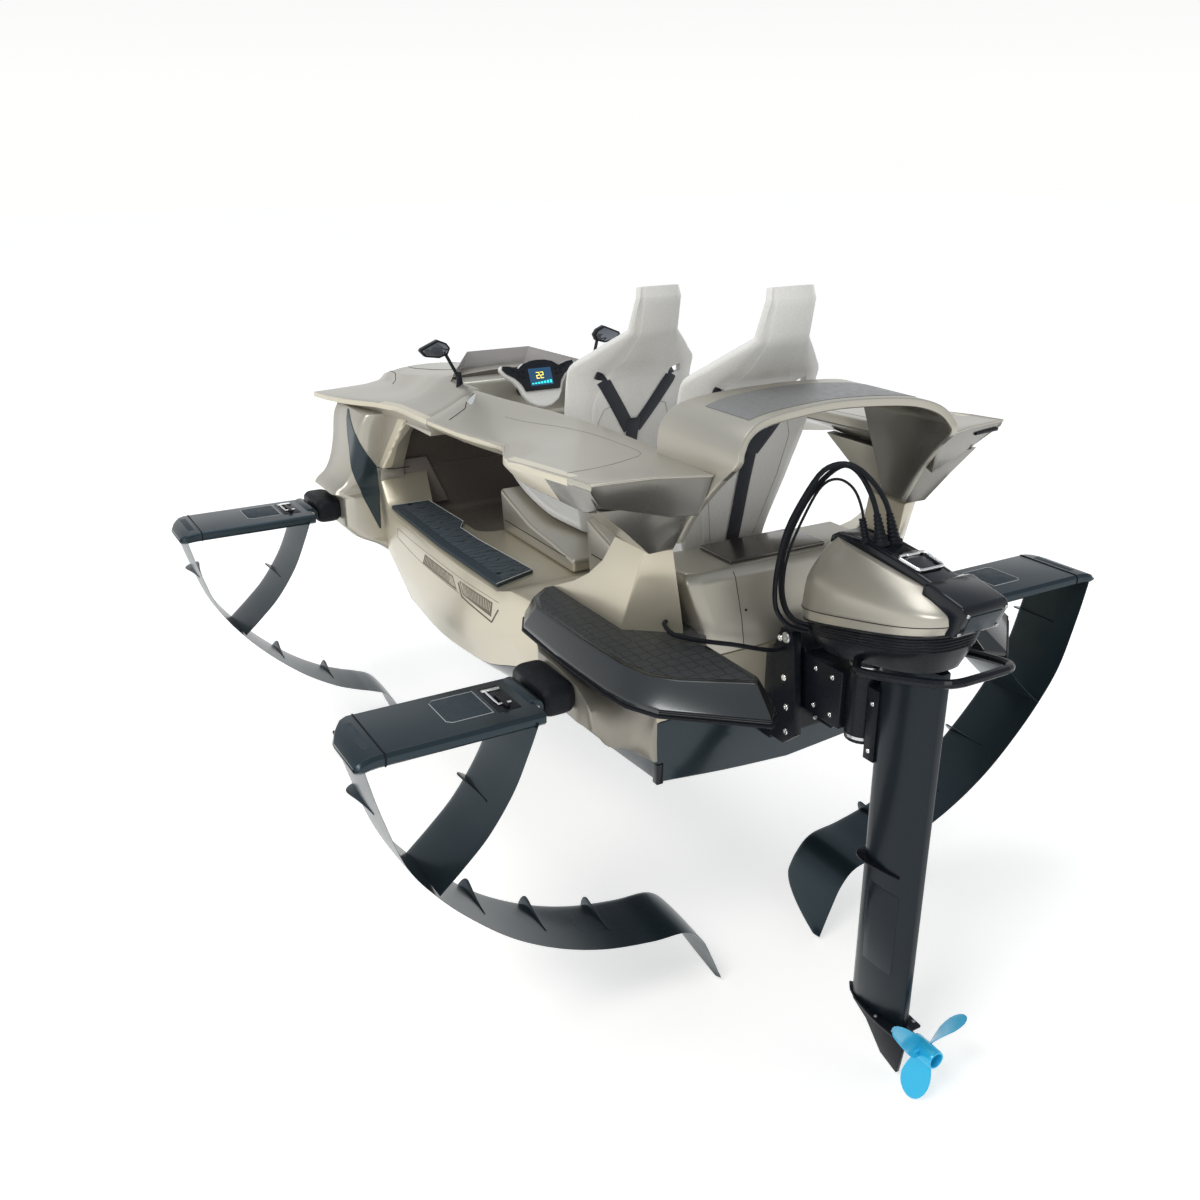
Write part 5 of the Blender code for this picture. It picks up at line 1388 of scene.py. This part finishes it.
def harness(label, dx, dz, shell):
    tree = tree_of(shell)

    def route(line, lift):
        """Points on the seat's back under a line of y and z, and the normals there."""
        points = []
        normals = []
        for p in spaced([(dx - 0.2, y, z + dz) for y, z in line], 0.015):
            hit, normal = cast(tree, p, Vector((1, 0, 0)), 0.5)
            if hit is not None:
                flat = Vector((normal.x, 0.0, normal.z)).normalized()
                points.append(hit + flat * lift)
                normals.append(flat)
        return points, normals

    parts = []
    for sign in SIGNS:
        points, normals = route([(sign * y, z) for y, z in SHOULDER], 0.0022)
        through = points[0] + Vector((0.030, sign * 0.004, 0.014))
        edge = points[0] + Vector((0.006, sign * 0.003, 0.0095))
        parts.append(strap("strap", [through, edge] + points, normals[:1] * 2 + normals, WEB_HALF))
    parts.append(strap("stem", *route([(0.0, z) for z in STEM_Z], 0.0046), WEB_HALF * 1.06))
    for z in STITCHES_Z:
        points, _ = route([(-STITCH_HALF, z), (STITCH_HALF, z)], 0.0058)
        parts.append(tube("stitch", points, 0.0007, 6))
    if label == "rear":
        top = LABEL[0][1]
        low = min(z for _, z in LABEL)
        points, normals = route([(0.0, top), (0.0, low)], 0.0066)
        first, last = points[0], points[-1]
        slope = (last - first) / (last.z - first.z)
        flat = [first + slope * (z + dz - first.z) + Vector((0, y, 0)) for y, z in LABEL]
        rings = [[tuple(p + normals[0] * lift) for p in flat] for lift in (-0.0012, 0.0012)]
        parts.append(bevel(loft("patch", rings), 0.0006, 2))
    dress(merged("harness_skin_" + label, parts), WEBBING, "hull", "harness_" + label)


def seats():
    for label, dx, dz in SEATS:
        shell = seat_shell(label, dx, dz)
        harness(label, dx, dz, shell)
        lines = [[(dx - 0.6, sign * y, z + dz) for y, z in SEAT_LINE] for sign in SIGNS]
        seams("seat_lines_" + label, shell, lines, (1, 0, 0), "hull", 0.0013, SHELL_LINE)
        base = soften("seat_base_" + label, CHAMPAGNE, 0.012, 4)
        for sign in SIGNS:
            line = [(x + dx, sign * 0.5, 0.178 + dz) for x in (0.34, -0.10)]
            seams("base_groove", base, [line], (0, -sign, 0), "hull")


# Helm

YOKE_PLACE = Matrix.Translation((0.545, 0.0, 0.615)) @ Matrix.Rotation(math.radians(25.0), 4, "Y")
YOKE_HALF = 0.011
YOKE_EDGE = ((0.145, 0.056), (0.150, 0.040), (0.138, 0.020), (0.108, -0.002), (0.088, -0.028),
             (0.078, -0.055), (0.060, -0.082), (0.030, -0.100), (0.0, -0.106))
YOKE_CROWN = ((0.0, 0.066), (0.030, 0.064), (0.060, 0.056), (0.080, 0.040), (0.115, 0.052))
PANEL_FACE = ((0.140, 0.052), (0.143, 0.040), (0.130, 0.024), (0.098, 0.004), (0.078, -0.020),
              (0.068, -0.046))
PANEL_BROW = ((0.0, 0.0640), (0.030, 0.0620), (0.058, 0.0545), (0.080, 0.0385), (0.113, 0.0490))
DISPLAY_X = -0.0214
DISPLAY = (-0.045, -0.030, 0.045, 0.033)
# Seven-bar digit: bars as (y0, z0, y1, z1) in a cell 1 wide and 2 high, seen from the seat
DIGIT_TWO = ((0, 2, 1, 2), (1, 2, 1, 1), (0, 1, 1, 1), (0, 1, 0, 0), (0, 0, 1, 0))
DIGIT_CELLS = (0.016, 0.0)
DIGIT_SIZE = 0.0105
DIGIT_FOOT = -0.004
BAR_HALF = 0.001
GAUGE_BARS = 7
BUTTONS = ((0.066, 0.026), (0.084, 0.026), (0.102, 0.034), (0.066, 0.008), (0.084, 0.012))
MIRROR_FACE = ((0.292, 0.732), (0.305, 0.750), (0.335, 0.763), (0.398, 0.737), (0.404, 0.729),
               (0.385, 0.708), (0.335, 0.700), (0.302, 0.710))
MIRROR_X = (0.6488, 0.6504)


def yoke_outline(edge, crown):
    """Ring from its port edge, top to bottom, and its crown, middle to port."""
    far_edge = [(-y, z) for y, z in reversed(edge) if y > 0]
    far_crown = [(-y, z) for y, z in reversed(crown[1:])]
    return [*edge, *far_edge, *far_crown, *crown]


def on_yoke(obj, mat, *nodes):
    """Sets a piece built upright into the yoke's leaning place."""
    obj.data.transform(YOKE_PLACE)
    dress(obj, mat, "helm", *nodes)


def yoke_slab(name, outline, low, high, width, mat, *nodes, segments=3):
    on_yoke(bevel(prism(name, outline, low, high, "x"), width, segments), mat, *nodes)


def yoke_marks(name, boxes, mat):
    """Flat lit marks on the display, each a box of y and z."""
    marks = [prism("bar", rectangle(*box), DISPLAY_X - 0.0004, DISPLAY_X + 0.0002, "x")
             for box in boxes]
    on_yoke(merged(name, marks), mat)


def yoke():
    yoke_slab("yoke_skin", yoke_outline(YOKE_EDGE, YOKE_CROWN), -YOKE_HALF, YOKE_HALF, 0.006, SHELL,
              "yoke", segments=4)
    yoke_slab("panel_skin", yoke_outline(PANEL_FACE, PANEL_BROW), -YOKE_HALF - 0.010,
              -YOKE_HALF - 0.0003, 0.003, GLOSS_BLACK, "yoke_panel")
    yoke_slab("display", rectangle(*DISPLAY), DISPLAY_X, DISPLAY_X + 0.002, 0.0006, DISPLAY_BLUE)
    digits = []
    for cell in DIGIT_CELLS:
        for y0, z0, y1, z1 in DIGIT_TWO:
            ya, yb = sorted(cell - DIGIT_SIZE * y for y in (y0, y1))
            za, zb = sorted(DIGIT_SIZE * z + DIGIT_FOOT for z in (z0, z1))
            digits.append((ya - BAR_HALF, za - BAR_HALF, yb + BAR_HALF, zb + BAR_HALF))
    yoke_marks("display_digits", digits, DISPLAY_YELLOW)
    bars = [(0.032 - 0.012 * k, -0.024, 0.040 - 0.012 * k, -0.020 + 0.0012 * k)
            for k in range(GAUGE_BARS)]
    yoke_marks("display_bars", bars, DISPLAY_TEAL)
    for sign in SIGNS:
        for y, z in BUTTONS:
            key = rectangle(sign * y - 0.006, z - 0.005, sign * y + 0.006, z + 0.005)
            yoke_slab("button", key, DISPLAY_X - 0.0016, DISPLAY_X + 0.001, 0.0014, RUBBER)


def helm():
    soften("dash", CHAMPAGNE, 0.012, 4)
    soften("steering_column", CASTING, 0.004)
    yoke()
    for name, side in SIDES:
        soften("mirror_" + name, CASTING, 0.0035, 3, 34.0)
        plate("mirror_glass", inset_outline(MIRROR_FACE, 0.006), *MIRROR_X, 0.0004, MIRROR, "hull",
              axis="x", side=side, segments=2)


# Faceted screen from one side to the other: half beam, top x and z, foot x and z
SCREEN = (
    (-0.268, 0.690, 0.634, 0.735, 0.590), (-0.128, 0.883, 0.672, 0.935, 0.585),
    (0.128, 0.883, 0.672, 0.935, 0.585), (0.268, 0.690, 0.634, 0.735, 0.590),
)
SCREEN_THICKNESS = 0.005


def screen():
    back = SCREEN_THICKNESS
    rings = [[(x0, y, z0), (x1, y, z1), (x1 - back, y, z1), (x0 - back, y, z0)]
             for y, x1, z1, x0, z0 in SCREEN]
    dress(bevel(loft("screen_skin", rings), 0.0015, 2, 20.0), GLASS, "hull", "windscreen")
    foot = [(x0 - 0.5 * back, y, z0 + 0.003) for y, _, _, x0, z0 in SCREEN]
    dress(tube("screen_seal", foot, 0.005, 10), RUBBER, "hull")


def locker():
    box = soften("locker_box", CHAMPAGNE, 0.006, 3, 24.0, 24.0)
    soften("locker_lid", LOCKER_GREY, 0.003)
    seam = [(-1.3, 0.168, 0.400), (-1.3, 0.168, 0.110)]
    seams("locker_seam", box, [seam], (1, 0, 0), "hull", 0.0012)
    places = landed(tree_of(box), [(-1.4, 0.151, z) for z in (0.266, 0.152)], (1, 0, 0))
    heads("locker_screws", places, (-1, 0, 0.05), 0.0036, 0.002, CASTING, "hull")


# Outboard

PROP_X = -1.535
PROP_Z = -0.762
PROP_TURN = math.radians(190.0)
COWL_MID_X = -1.30
OVAL_POINTS = 72
# Rings of both cowls: front x, rear x, half beam, z at the middle, slope
LOWER_RINGS = ((-1.118, -1.490, 0.082, 0.245, 0.20), (-1.078, -1.512, 0.108, 0.292, 0.22),
               (-1.066, -1.528, 0.118, 0.3422, 0.24))
COWL_RINGS = ((-1.052, -1.540, 0.126, 0.3430, 0.24), (-1.045, -1.552, 0.133, 0.371, 0.22),
              (-1.052, -1.548, 0.128, 0.415, 0.12), (-1.080, -1.505, 0.100, 0.462, 0.02),
              (-1.118, -1.450, 0.064, 0.496, -0.11))
# How far the ribs of the lower cowl stand out: front x, rear x, half beam, z, slope
RIB_RISE = (0.001, -0.001, 0.001, 0.0, 0.0)
SPINE_SIDE = ((-1.108, 0.490), (-1.112, 0.512), (-1.135, 0.524), (-1.250, 0.528), (-1.360, 0.515),
              (-1.455, 0.496), (-1.500, 0.480), (-1.500, 0.440))
SPINE_BLOCK = ((-1.440, 0.430), (-1.450, 0.497), (-1.470, 0.503), (-1.572, 0.480),
               (-1.582, 0.466), (-1.556, 0.402), (-1.500, 0.395))
# Strain reliefs: foot and top of each, and its radius at the foot
RELIEFS = (((-1.262, 0.018, 0.524), (-1.240, 0.0215, 0.594), 0.0165),
           ((-1.266, -0.018, 0.524), (-1.2515, -0.0075, 0.594), 0.0165),
           ((-1.226, 0.033, 0.522), (-1.210, 0.0385, 0.578), 0.0105))
RELIEF_POINTS = 23
# Points of a strain relief that sit in a groove
RELIEF_GROOVES = range(5, 21, 3)
RELIEF_TIP = 0.0088
CARRY_RING = ((-1.340, 0.043, 0.5215), (-1.340, -0.040, 0.5215), (-1.412, -0.034, 0.5100),
              (-1.412, 0.040, 0.5100))
REAR_WAY = Vector((-0.972, 0.0, -0.236)).normalized()
REAR_PLATE = ((-1.5795, -0.050, 0.458), (-1.5795, 0.050, 0.458), (-1.5590, 0.046, 0.410),
              (-1.5590, -0.046, 0.410))


def oval_ring(x0, x1, half, z, slope):
    """Rounded plan outline from the front x0 to the rear x1 on a level that slopes aft."""
    ring = []
    for t in (2 * math.pi * i / OVAL_POINTS for i in range(OVAL_POINTS)):
        c = math.cos(t)
        s = math.sin(t)
        x = 0.5 * (x0 + x1) + 0.5 * (x0 - x1) * math.copysign(abs(c) ** 0.6, c)
        ring.append((x, half * math.copysign(abs(s) ** 0.7, s), z + slope * (COWL_MID_X - x)))
    return ring


def cowl_ring(row):
    """Outline of a cowl at one row, with evenly spaced points."""
    ring = oval_ring(*row)
    table = np.array(ring + ring[:1])
    marks = np.concatenate(([0.0], np.cumsum(np.linalg.norm(np.diff(table, axis=0), axis=1))))
    at = np.linspace(0.0, marks[-1], len(ring), endpoint=False)
    return [tuple(float(np.interp(s, marks, table[:, k])) for k in range(3)) for s in at]


def around(name, row, radius, sides=8):
    ring = cowl_ring(row)
    return tube(name, ring + ring[:1], radius, sides)


def cowls():
    lower = loft("lower_cowl_skin", denser([cowl_ring(row) for row in LOWER_RINGS], 4))
    dress(bevel(lower, 0.004, 3, 40.0), CASTING, "outboard", "motor_lower_cowl", smooth=50.0)
    skin = loft("cowl_skin", denser([cowl_ring(row) for row in COWL_RINGS], 6, [1]))
    dress(bevel(skin, 0.004, 3, 40.0), CHAMPAGNE, "outboard", "motor_cowl", smooth=50.0)
    for row, radius, mat in zip(COWL_RINGS, (0.0032, 0.0012), (GLOSS_BLACK, SEAM)):
        dress(around("cowl_band", row, radius), mat, "outboard", smooth=60.0)
    ribs = []
    for k in range(5):
        share = 0.2 + 0.15 * k
        row = [a + (b - a) * share + rise for a, b, rise in zip(*LOWER_RINGS[1:], RIB_RISE)]
        ribs.append(around("rib", row, 0.0022, 6))
    dress(merged("lower_ribs", ribs), CASTING, "outboard", smooth=60.0)


def strain_reliefs():
    parts = []
    for foot, tip, radius in RELIEFS:
        a = Vector(foot)
        b = Vector(tip)
        way = (b - a).normalized()
        shares = [i / (RELIEF_POINTS - 1) for i in range(RELIEF_POINTS)]
        radii = [radius - (radius - RELIEF_TIP) * t - (0.0022 if i in RELIEF_GROOVES else 0.0)
                 for i, t in enumerate(shares)]
        parts.append(tube("relief", [a.lerp(b, t) for t in shares], radii, 20))
        collar = tube("collar", [a - way * 0.004, a + way * 0.007], radius + 0.0035, 20)
        parts.append(bevel(collar, 0.0012, 2, 50.0))
    dress(merged("strain_reliefs", parts), RUBBER, "outboard", smooth=50.0)


def carry_ring():
    corners = [Vector(p) for p in CARRY_RING]
    loop = []
    for i, corner in enumerate(corners):
        before = (corners[i - 1] - corner).normalized() * 0.010
        after = (corners[(i + 1) % len(corners)] - corner).normalized() * 0.010
        loop.extend([corner + before, corner + (before + after) * 0.25, corner + after])
    ring = tube("carry_ring", spaced(loop + loop[:1], 0.008), 0.0042, 12)
    foot = rounded_box("ring_foot", (-1.350, -0.020, 0.512), (-1.332, 0.020, 0.5270), 0.003)
    dress(merged("carry_ring_set", [ring, foot]), CHROME, "outboard", smooth=60.0)


def spine():
    skin = bevel(prism("spine", SPINE_SIDE, -0.046, 0.046, "y"), 0.007)
    combine(skin, bevel(prism("block", SPINE_BLOCK, -0.068, 0.068, "y"), 0.007), "UNION")
    skin.data.materials.clear()
    dress(skin, GLOSS_BLACK, "outboard", "motor_spine")
    strain_reliefs()
    carry_ring()
    slab = [[tuple(Vector(p) + REAR_WAY * lift) for p in REAR_PLATE] for lift in (-0.001, 0.0018)]
    dress(bevel(loft("rear_plate", slab), 0.0012, 2), GRAPHITE, "outboard")
    places = landed(tree_of(skin), [(-1.8, y, z) for y in (-0.058, 0.058) for z in (0.462, 0.412)],
                    (1, 0, 0))
    heads("plate_screws", places, REAR_WAY, 0.0045, 0.0024, STEEL, "outboard")
    for y in (0.034, -0.034):
        line = [(-1.13, y, 0.7), (-1.43, y, 0.7)]
        seams("spine_lines", skin, [line], DOWN, "outboard", 0.0012, CASTING)


# Leg: z, front x, rear x, half width
LEG_STATIONS = ((-0.745, -1.298, -1.492, 0.030), (0.02, -1.296, -1.490, 0.036),
                (0.275, -1.294, -1.490, 0.040))
# Half section: share of the chord, share of the half width
LEG_SECTION = ((0.0, 0.0), (0.015, 0.30), (0.05, 0.58), (0.12, 0.85), (0.22, 0.98), (0.36, 1.0),
               (0.55, 0.97), (0.75, 0.78), (0.90, 0.52), (1.0, 0.34))
LEG_PANEL = ((-1.345, -0.60), (-1.445, -0.60), (-1.445, -0.36), (-1.345, -0.36))
LEG_FENCE_X = (-1.284, -1.440)
LEG_FENCE_Z = (-0.3075, -0.3025)
LEG_FENCE_HALF = 0.052
# Fence outline: share of its length, and half width before scaling
FENCE_PLAN = ((0.0, 0.0), (0.01, 0.010), (0.04, 0.017), (0.10, 0.0225), (0.20, 0.0255),
              (0.32, 0.0265), (0.50, 0.0250), (0.70, 0.0220), (0.86, 0.0195), (1.0, 0.0165))
FENCE_WIDEST = 0.0265


def leg():
    rings = [mirror_half([(x0 - (x0 - x1) * t, half * h, z) for t, h in LEG_SECTION])
             for z, x0, x1, half in LEG_STATIONS]
    skin = bevel(loft("leg_skin", denser(rings, 3)), 0.003, 2, 40.0)
    dress(skin, LEG_PAINT, "outboard", "leg", smooth=40.0)
    for sign in SIGNS:
        inlay("leg_panel", skin, LEG_PANEL, 0.0, 0.06, 0.0007, LEG_PAINT, "outboard", sign, 0.0003)
    nose, tail = LEG_FENCE_X
    half = [(nose + (tail - nose) * c, LEG_FENCE_HALF * h / FENCE_WIDEST) for c, h in FENCE_PLAN]
    plate("leg_fence", both(half), *LEG_FENCE_Z, 0.0015, CASTING, "outboard", segments=2)
    soften("steer_collar", CASTING, 0.006)
    for sign in SIGNS:
        heads("collar_screws", [(-1.300, sign * 0.036, z) for z in (0.125, -0.005)], (0, sign, 0),
              0.006, 0.003, CHROME, "outboard")


# Gearcase body as x and radius, skeg as x and z, half of the plate above as x and y
GEAR_BODY = ((-1.300, 0.006), (-1.306, 0.013), (-1.318, 0.019), (-1.340, 0.0215), (-1.40, 0.0235),
             (-1.47, 0.022), (-1.523, 0.0175))
SKEG = ((-1.287, -0.7455), (-1.300, -0.785), (-1.356, -0.814), (-1.420, -0.880), (-1.485, -0.900),
        (-1.500, -0.790), (-1.496, -0.7455))
LEG_PLATE = ((-1.275, 0.0), (-1.30, 0.020), (-1.34, 0.036), (-1.40, 0.045), (-1.45, 0.048),
             (-1.505, 0.045))
LEG_PLATE_Z = (-0.7545, -0.7455)
# Propeller hub as x and radius; blades as distance out, chord and pitch in degrees
HUB = ((-1.5235, 0.0235), (-1.530, 0.0258), (-1.560, 0.0260), (-1.600, 0.0256), (-1.6068, 0.0240))
BLADES = 3
BLADE_RADII = ((0.018, 0.040, 60), (0.032, 0.054, 53), (0.045, 0.062, 48), (0.065, 0.071, 41),
               (0.085, 0.076, 34), (0.105, 0.073, 30), (0.122, 0.064, 26), (0.136, 0.048, 24),
               (0.145, 0.030, 22), (0.148, 0.016, 22))
# Blade section: share of the chord, share of the half thickness
BLADE_SECTION = ((-0.5, 0.0), (-0.42, 0.55), (-0.2, 1.0), (0.1, 0.95), (0.35, 0.5), (0.5, 0.0),
                 (0.35, -0.5), (0.1, -0.95), (-0.2, -1.0), (-0.42, -0.55))


def turned(name, profile, sides):
    """Body turned around the propeller's axis, from x and radius."""
    return tube(name, [(x, 0.0, PROP_Z) for x, _ in profile], [r for _, r in profile], sides)


def gearcase():
    parts = [turned("gear_body", GEAR_BODY, 32),
             bevel(prism("skeg", SKEG, -0.007, 0.007, "y"), 0.004, 2),
             bevel(prism("plate", both(LEG_PLATE), *LEG_PLATE_Z), 0.003, 2)]
    dress(merged("gearcase_skin", parts), CASTING, "outboard", "gearcase", smooth=45.0)
    bolts = [(x, y, LEG_PLATE_Z[1]) for x in (-1.42, -1.485) for y in (-0.036, 0.036)]
    heads("plate_bolts", bolts, (0, 0, 1), 0.005, 0.003, STEEL, "outboard")


def propeller_blade(turn):
    tip = BLADE_RADII[-1][0]
    rings = []
    for r, chord, pitch in BLADE_RADII:
        a = -math.radians(pitch)
        along = Vector((math.cos(a), math.sin(a))) * chord
        thick = Vector((-math.sin(a), math.cos(a))) * (0.0030 - 0.0012 * r / tip)
        ring = []
        for c, h in BLADE_SECTION:
            dx, dy = along * c + thick * h
            ring.append((PROP_X - 0.025 + dx, dy * math.cos(turn) - r * math.sin(turn),
                         PROP_Z + dy * math.sin(turn) + r * math.cos(turn)))
        rings.append(ring)
    return loft("blade", rings)


def propeller():
    hub = turned("hub", HUB, 36)
    combine(hub, turned("cutter", ((-1.575, 0.0195), (-1.65, 0.0195)), 36), "DIFFERENCE")
    hub.data.materials.clear()
    parts = [bevel(hub, 0.0012, 2, 50.0), turned("nut", ((-1.570, 0.0085), (-1.588, 0.0085)), 6)]
    parts += [propeller_blade(2 * math.pi * k / BLADES + PROP_TURN) for k in range(BLADES)]
    dress(merged("propeller_skin", parts), CYAN, "propeller", "propeller", smooth=50.0)


# Bolts on both sides of the bracket: name, y, places as x and z, the way they face, radius,
# height, material, body
BOLTS = (
    ("clamp_bolts", 0.094, ((-1.005, 0.205), (-1.03, 0.10), (-1.045, 0.02), (-1.05, -0.05)),
     (0, 1), 0.009, 0.005, CHROME, "hull"),
    ("tilt_pin", 0.0948, ((-1.030, 0.215),), (0, 1), 0.015, 0.006, STEEL, "hull"),
    ("plate_bolts", 0.060, ((-0.985, 0.125), (-0.985, 0.02), (-0.985, -0.075)),
     (-1, 0), 0.008, 0.005, STEEL, "hull"),
    ("web_bolts", 0.050, ((-1.10, 0.145), (-1.10, 0.040), (-1.165, 0.145), (-1.165, 0.040)),
     (0, 1), 0.007, 0.0035, CHROME, "tilt_bracket"),
)
STEER_AXIS_X = -1.235
STEER_RINGS_Z = (0.205, 0.010)


def bracket():
    soften("transom_clamp", CASTING, 0.006)
    soften("swivel_bracket", CASTING, 0.005)
    for sign in SIGNS:
        for name, y, places, (ahead, across), *finish in BOLTS:
            heads(name, [(x, sign * y, z) for x, z in places], (ahead, sign * across, 0), *finish)
    rings = [tube("ring", [(STEER_AXIS_X, 0, z - 0.004), (STEER_AXIS_X, 0, z + 0.004)], 0.0465, 40)
             for z in STEER_RINGS_Z]
    dress(merged("steer_rings", rings), STEEL, "tilt_bracket", smooth=50.0)


def leads():
    for name in ("power_cable_a", "power_cable_b", "signal_cable", "steering_cable", "motor_handle"):
        node = NODES[name]
        for slot in node.material_slots:
            slot.material = CASTING if name == "motor_handle" else RUBBER
        node.data.set_sharp_from_angle(angle=math.radians(60))


camera()
studio()
hull()
bow()
wings()
arch()
for side_name, side in SIDES:
    horn(side_name, side)
    scoop(side_name, side)
    for end in ("front", "rear"):
        boot(end, side_name, side)
        foil(end, side_name, side)
for side_name, side in SIDES:
    platform(side_name, side)
    step(side_name, side)
    platform_edge(side)
seats()
helm()
screen()
locker()
bracket()
cowls()
spine()
leg()
gearcase()
propeller()
leads()
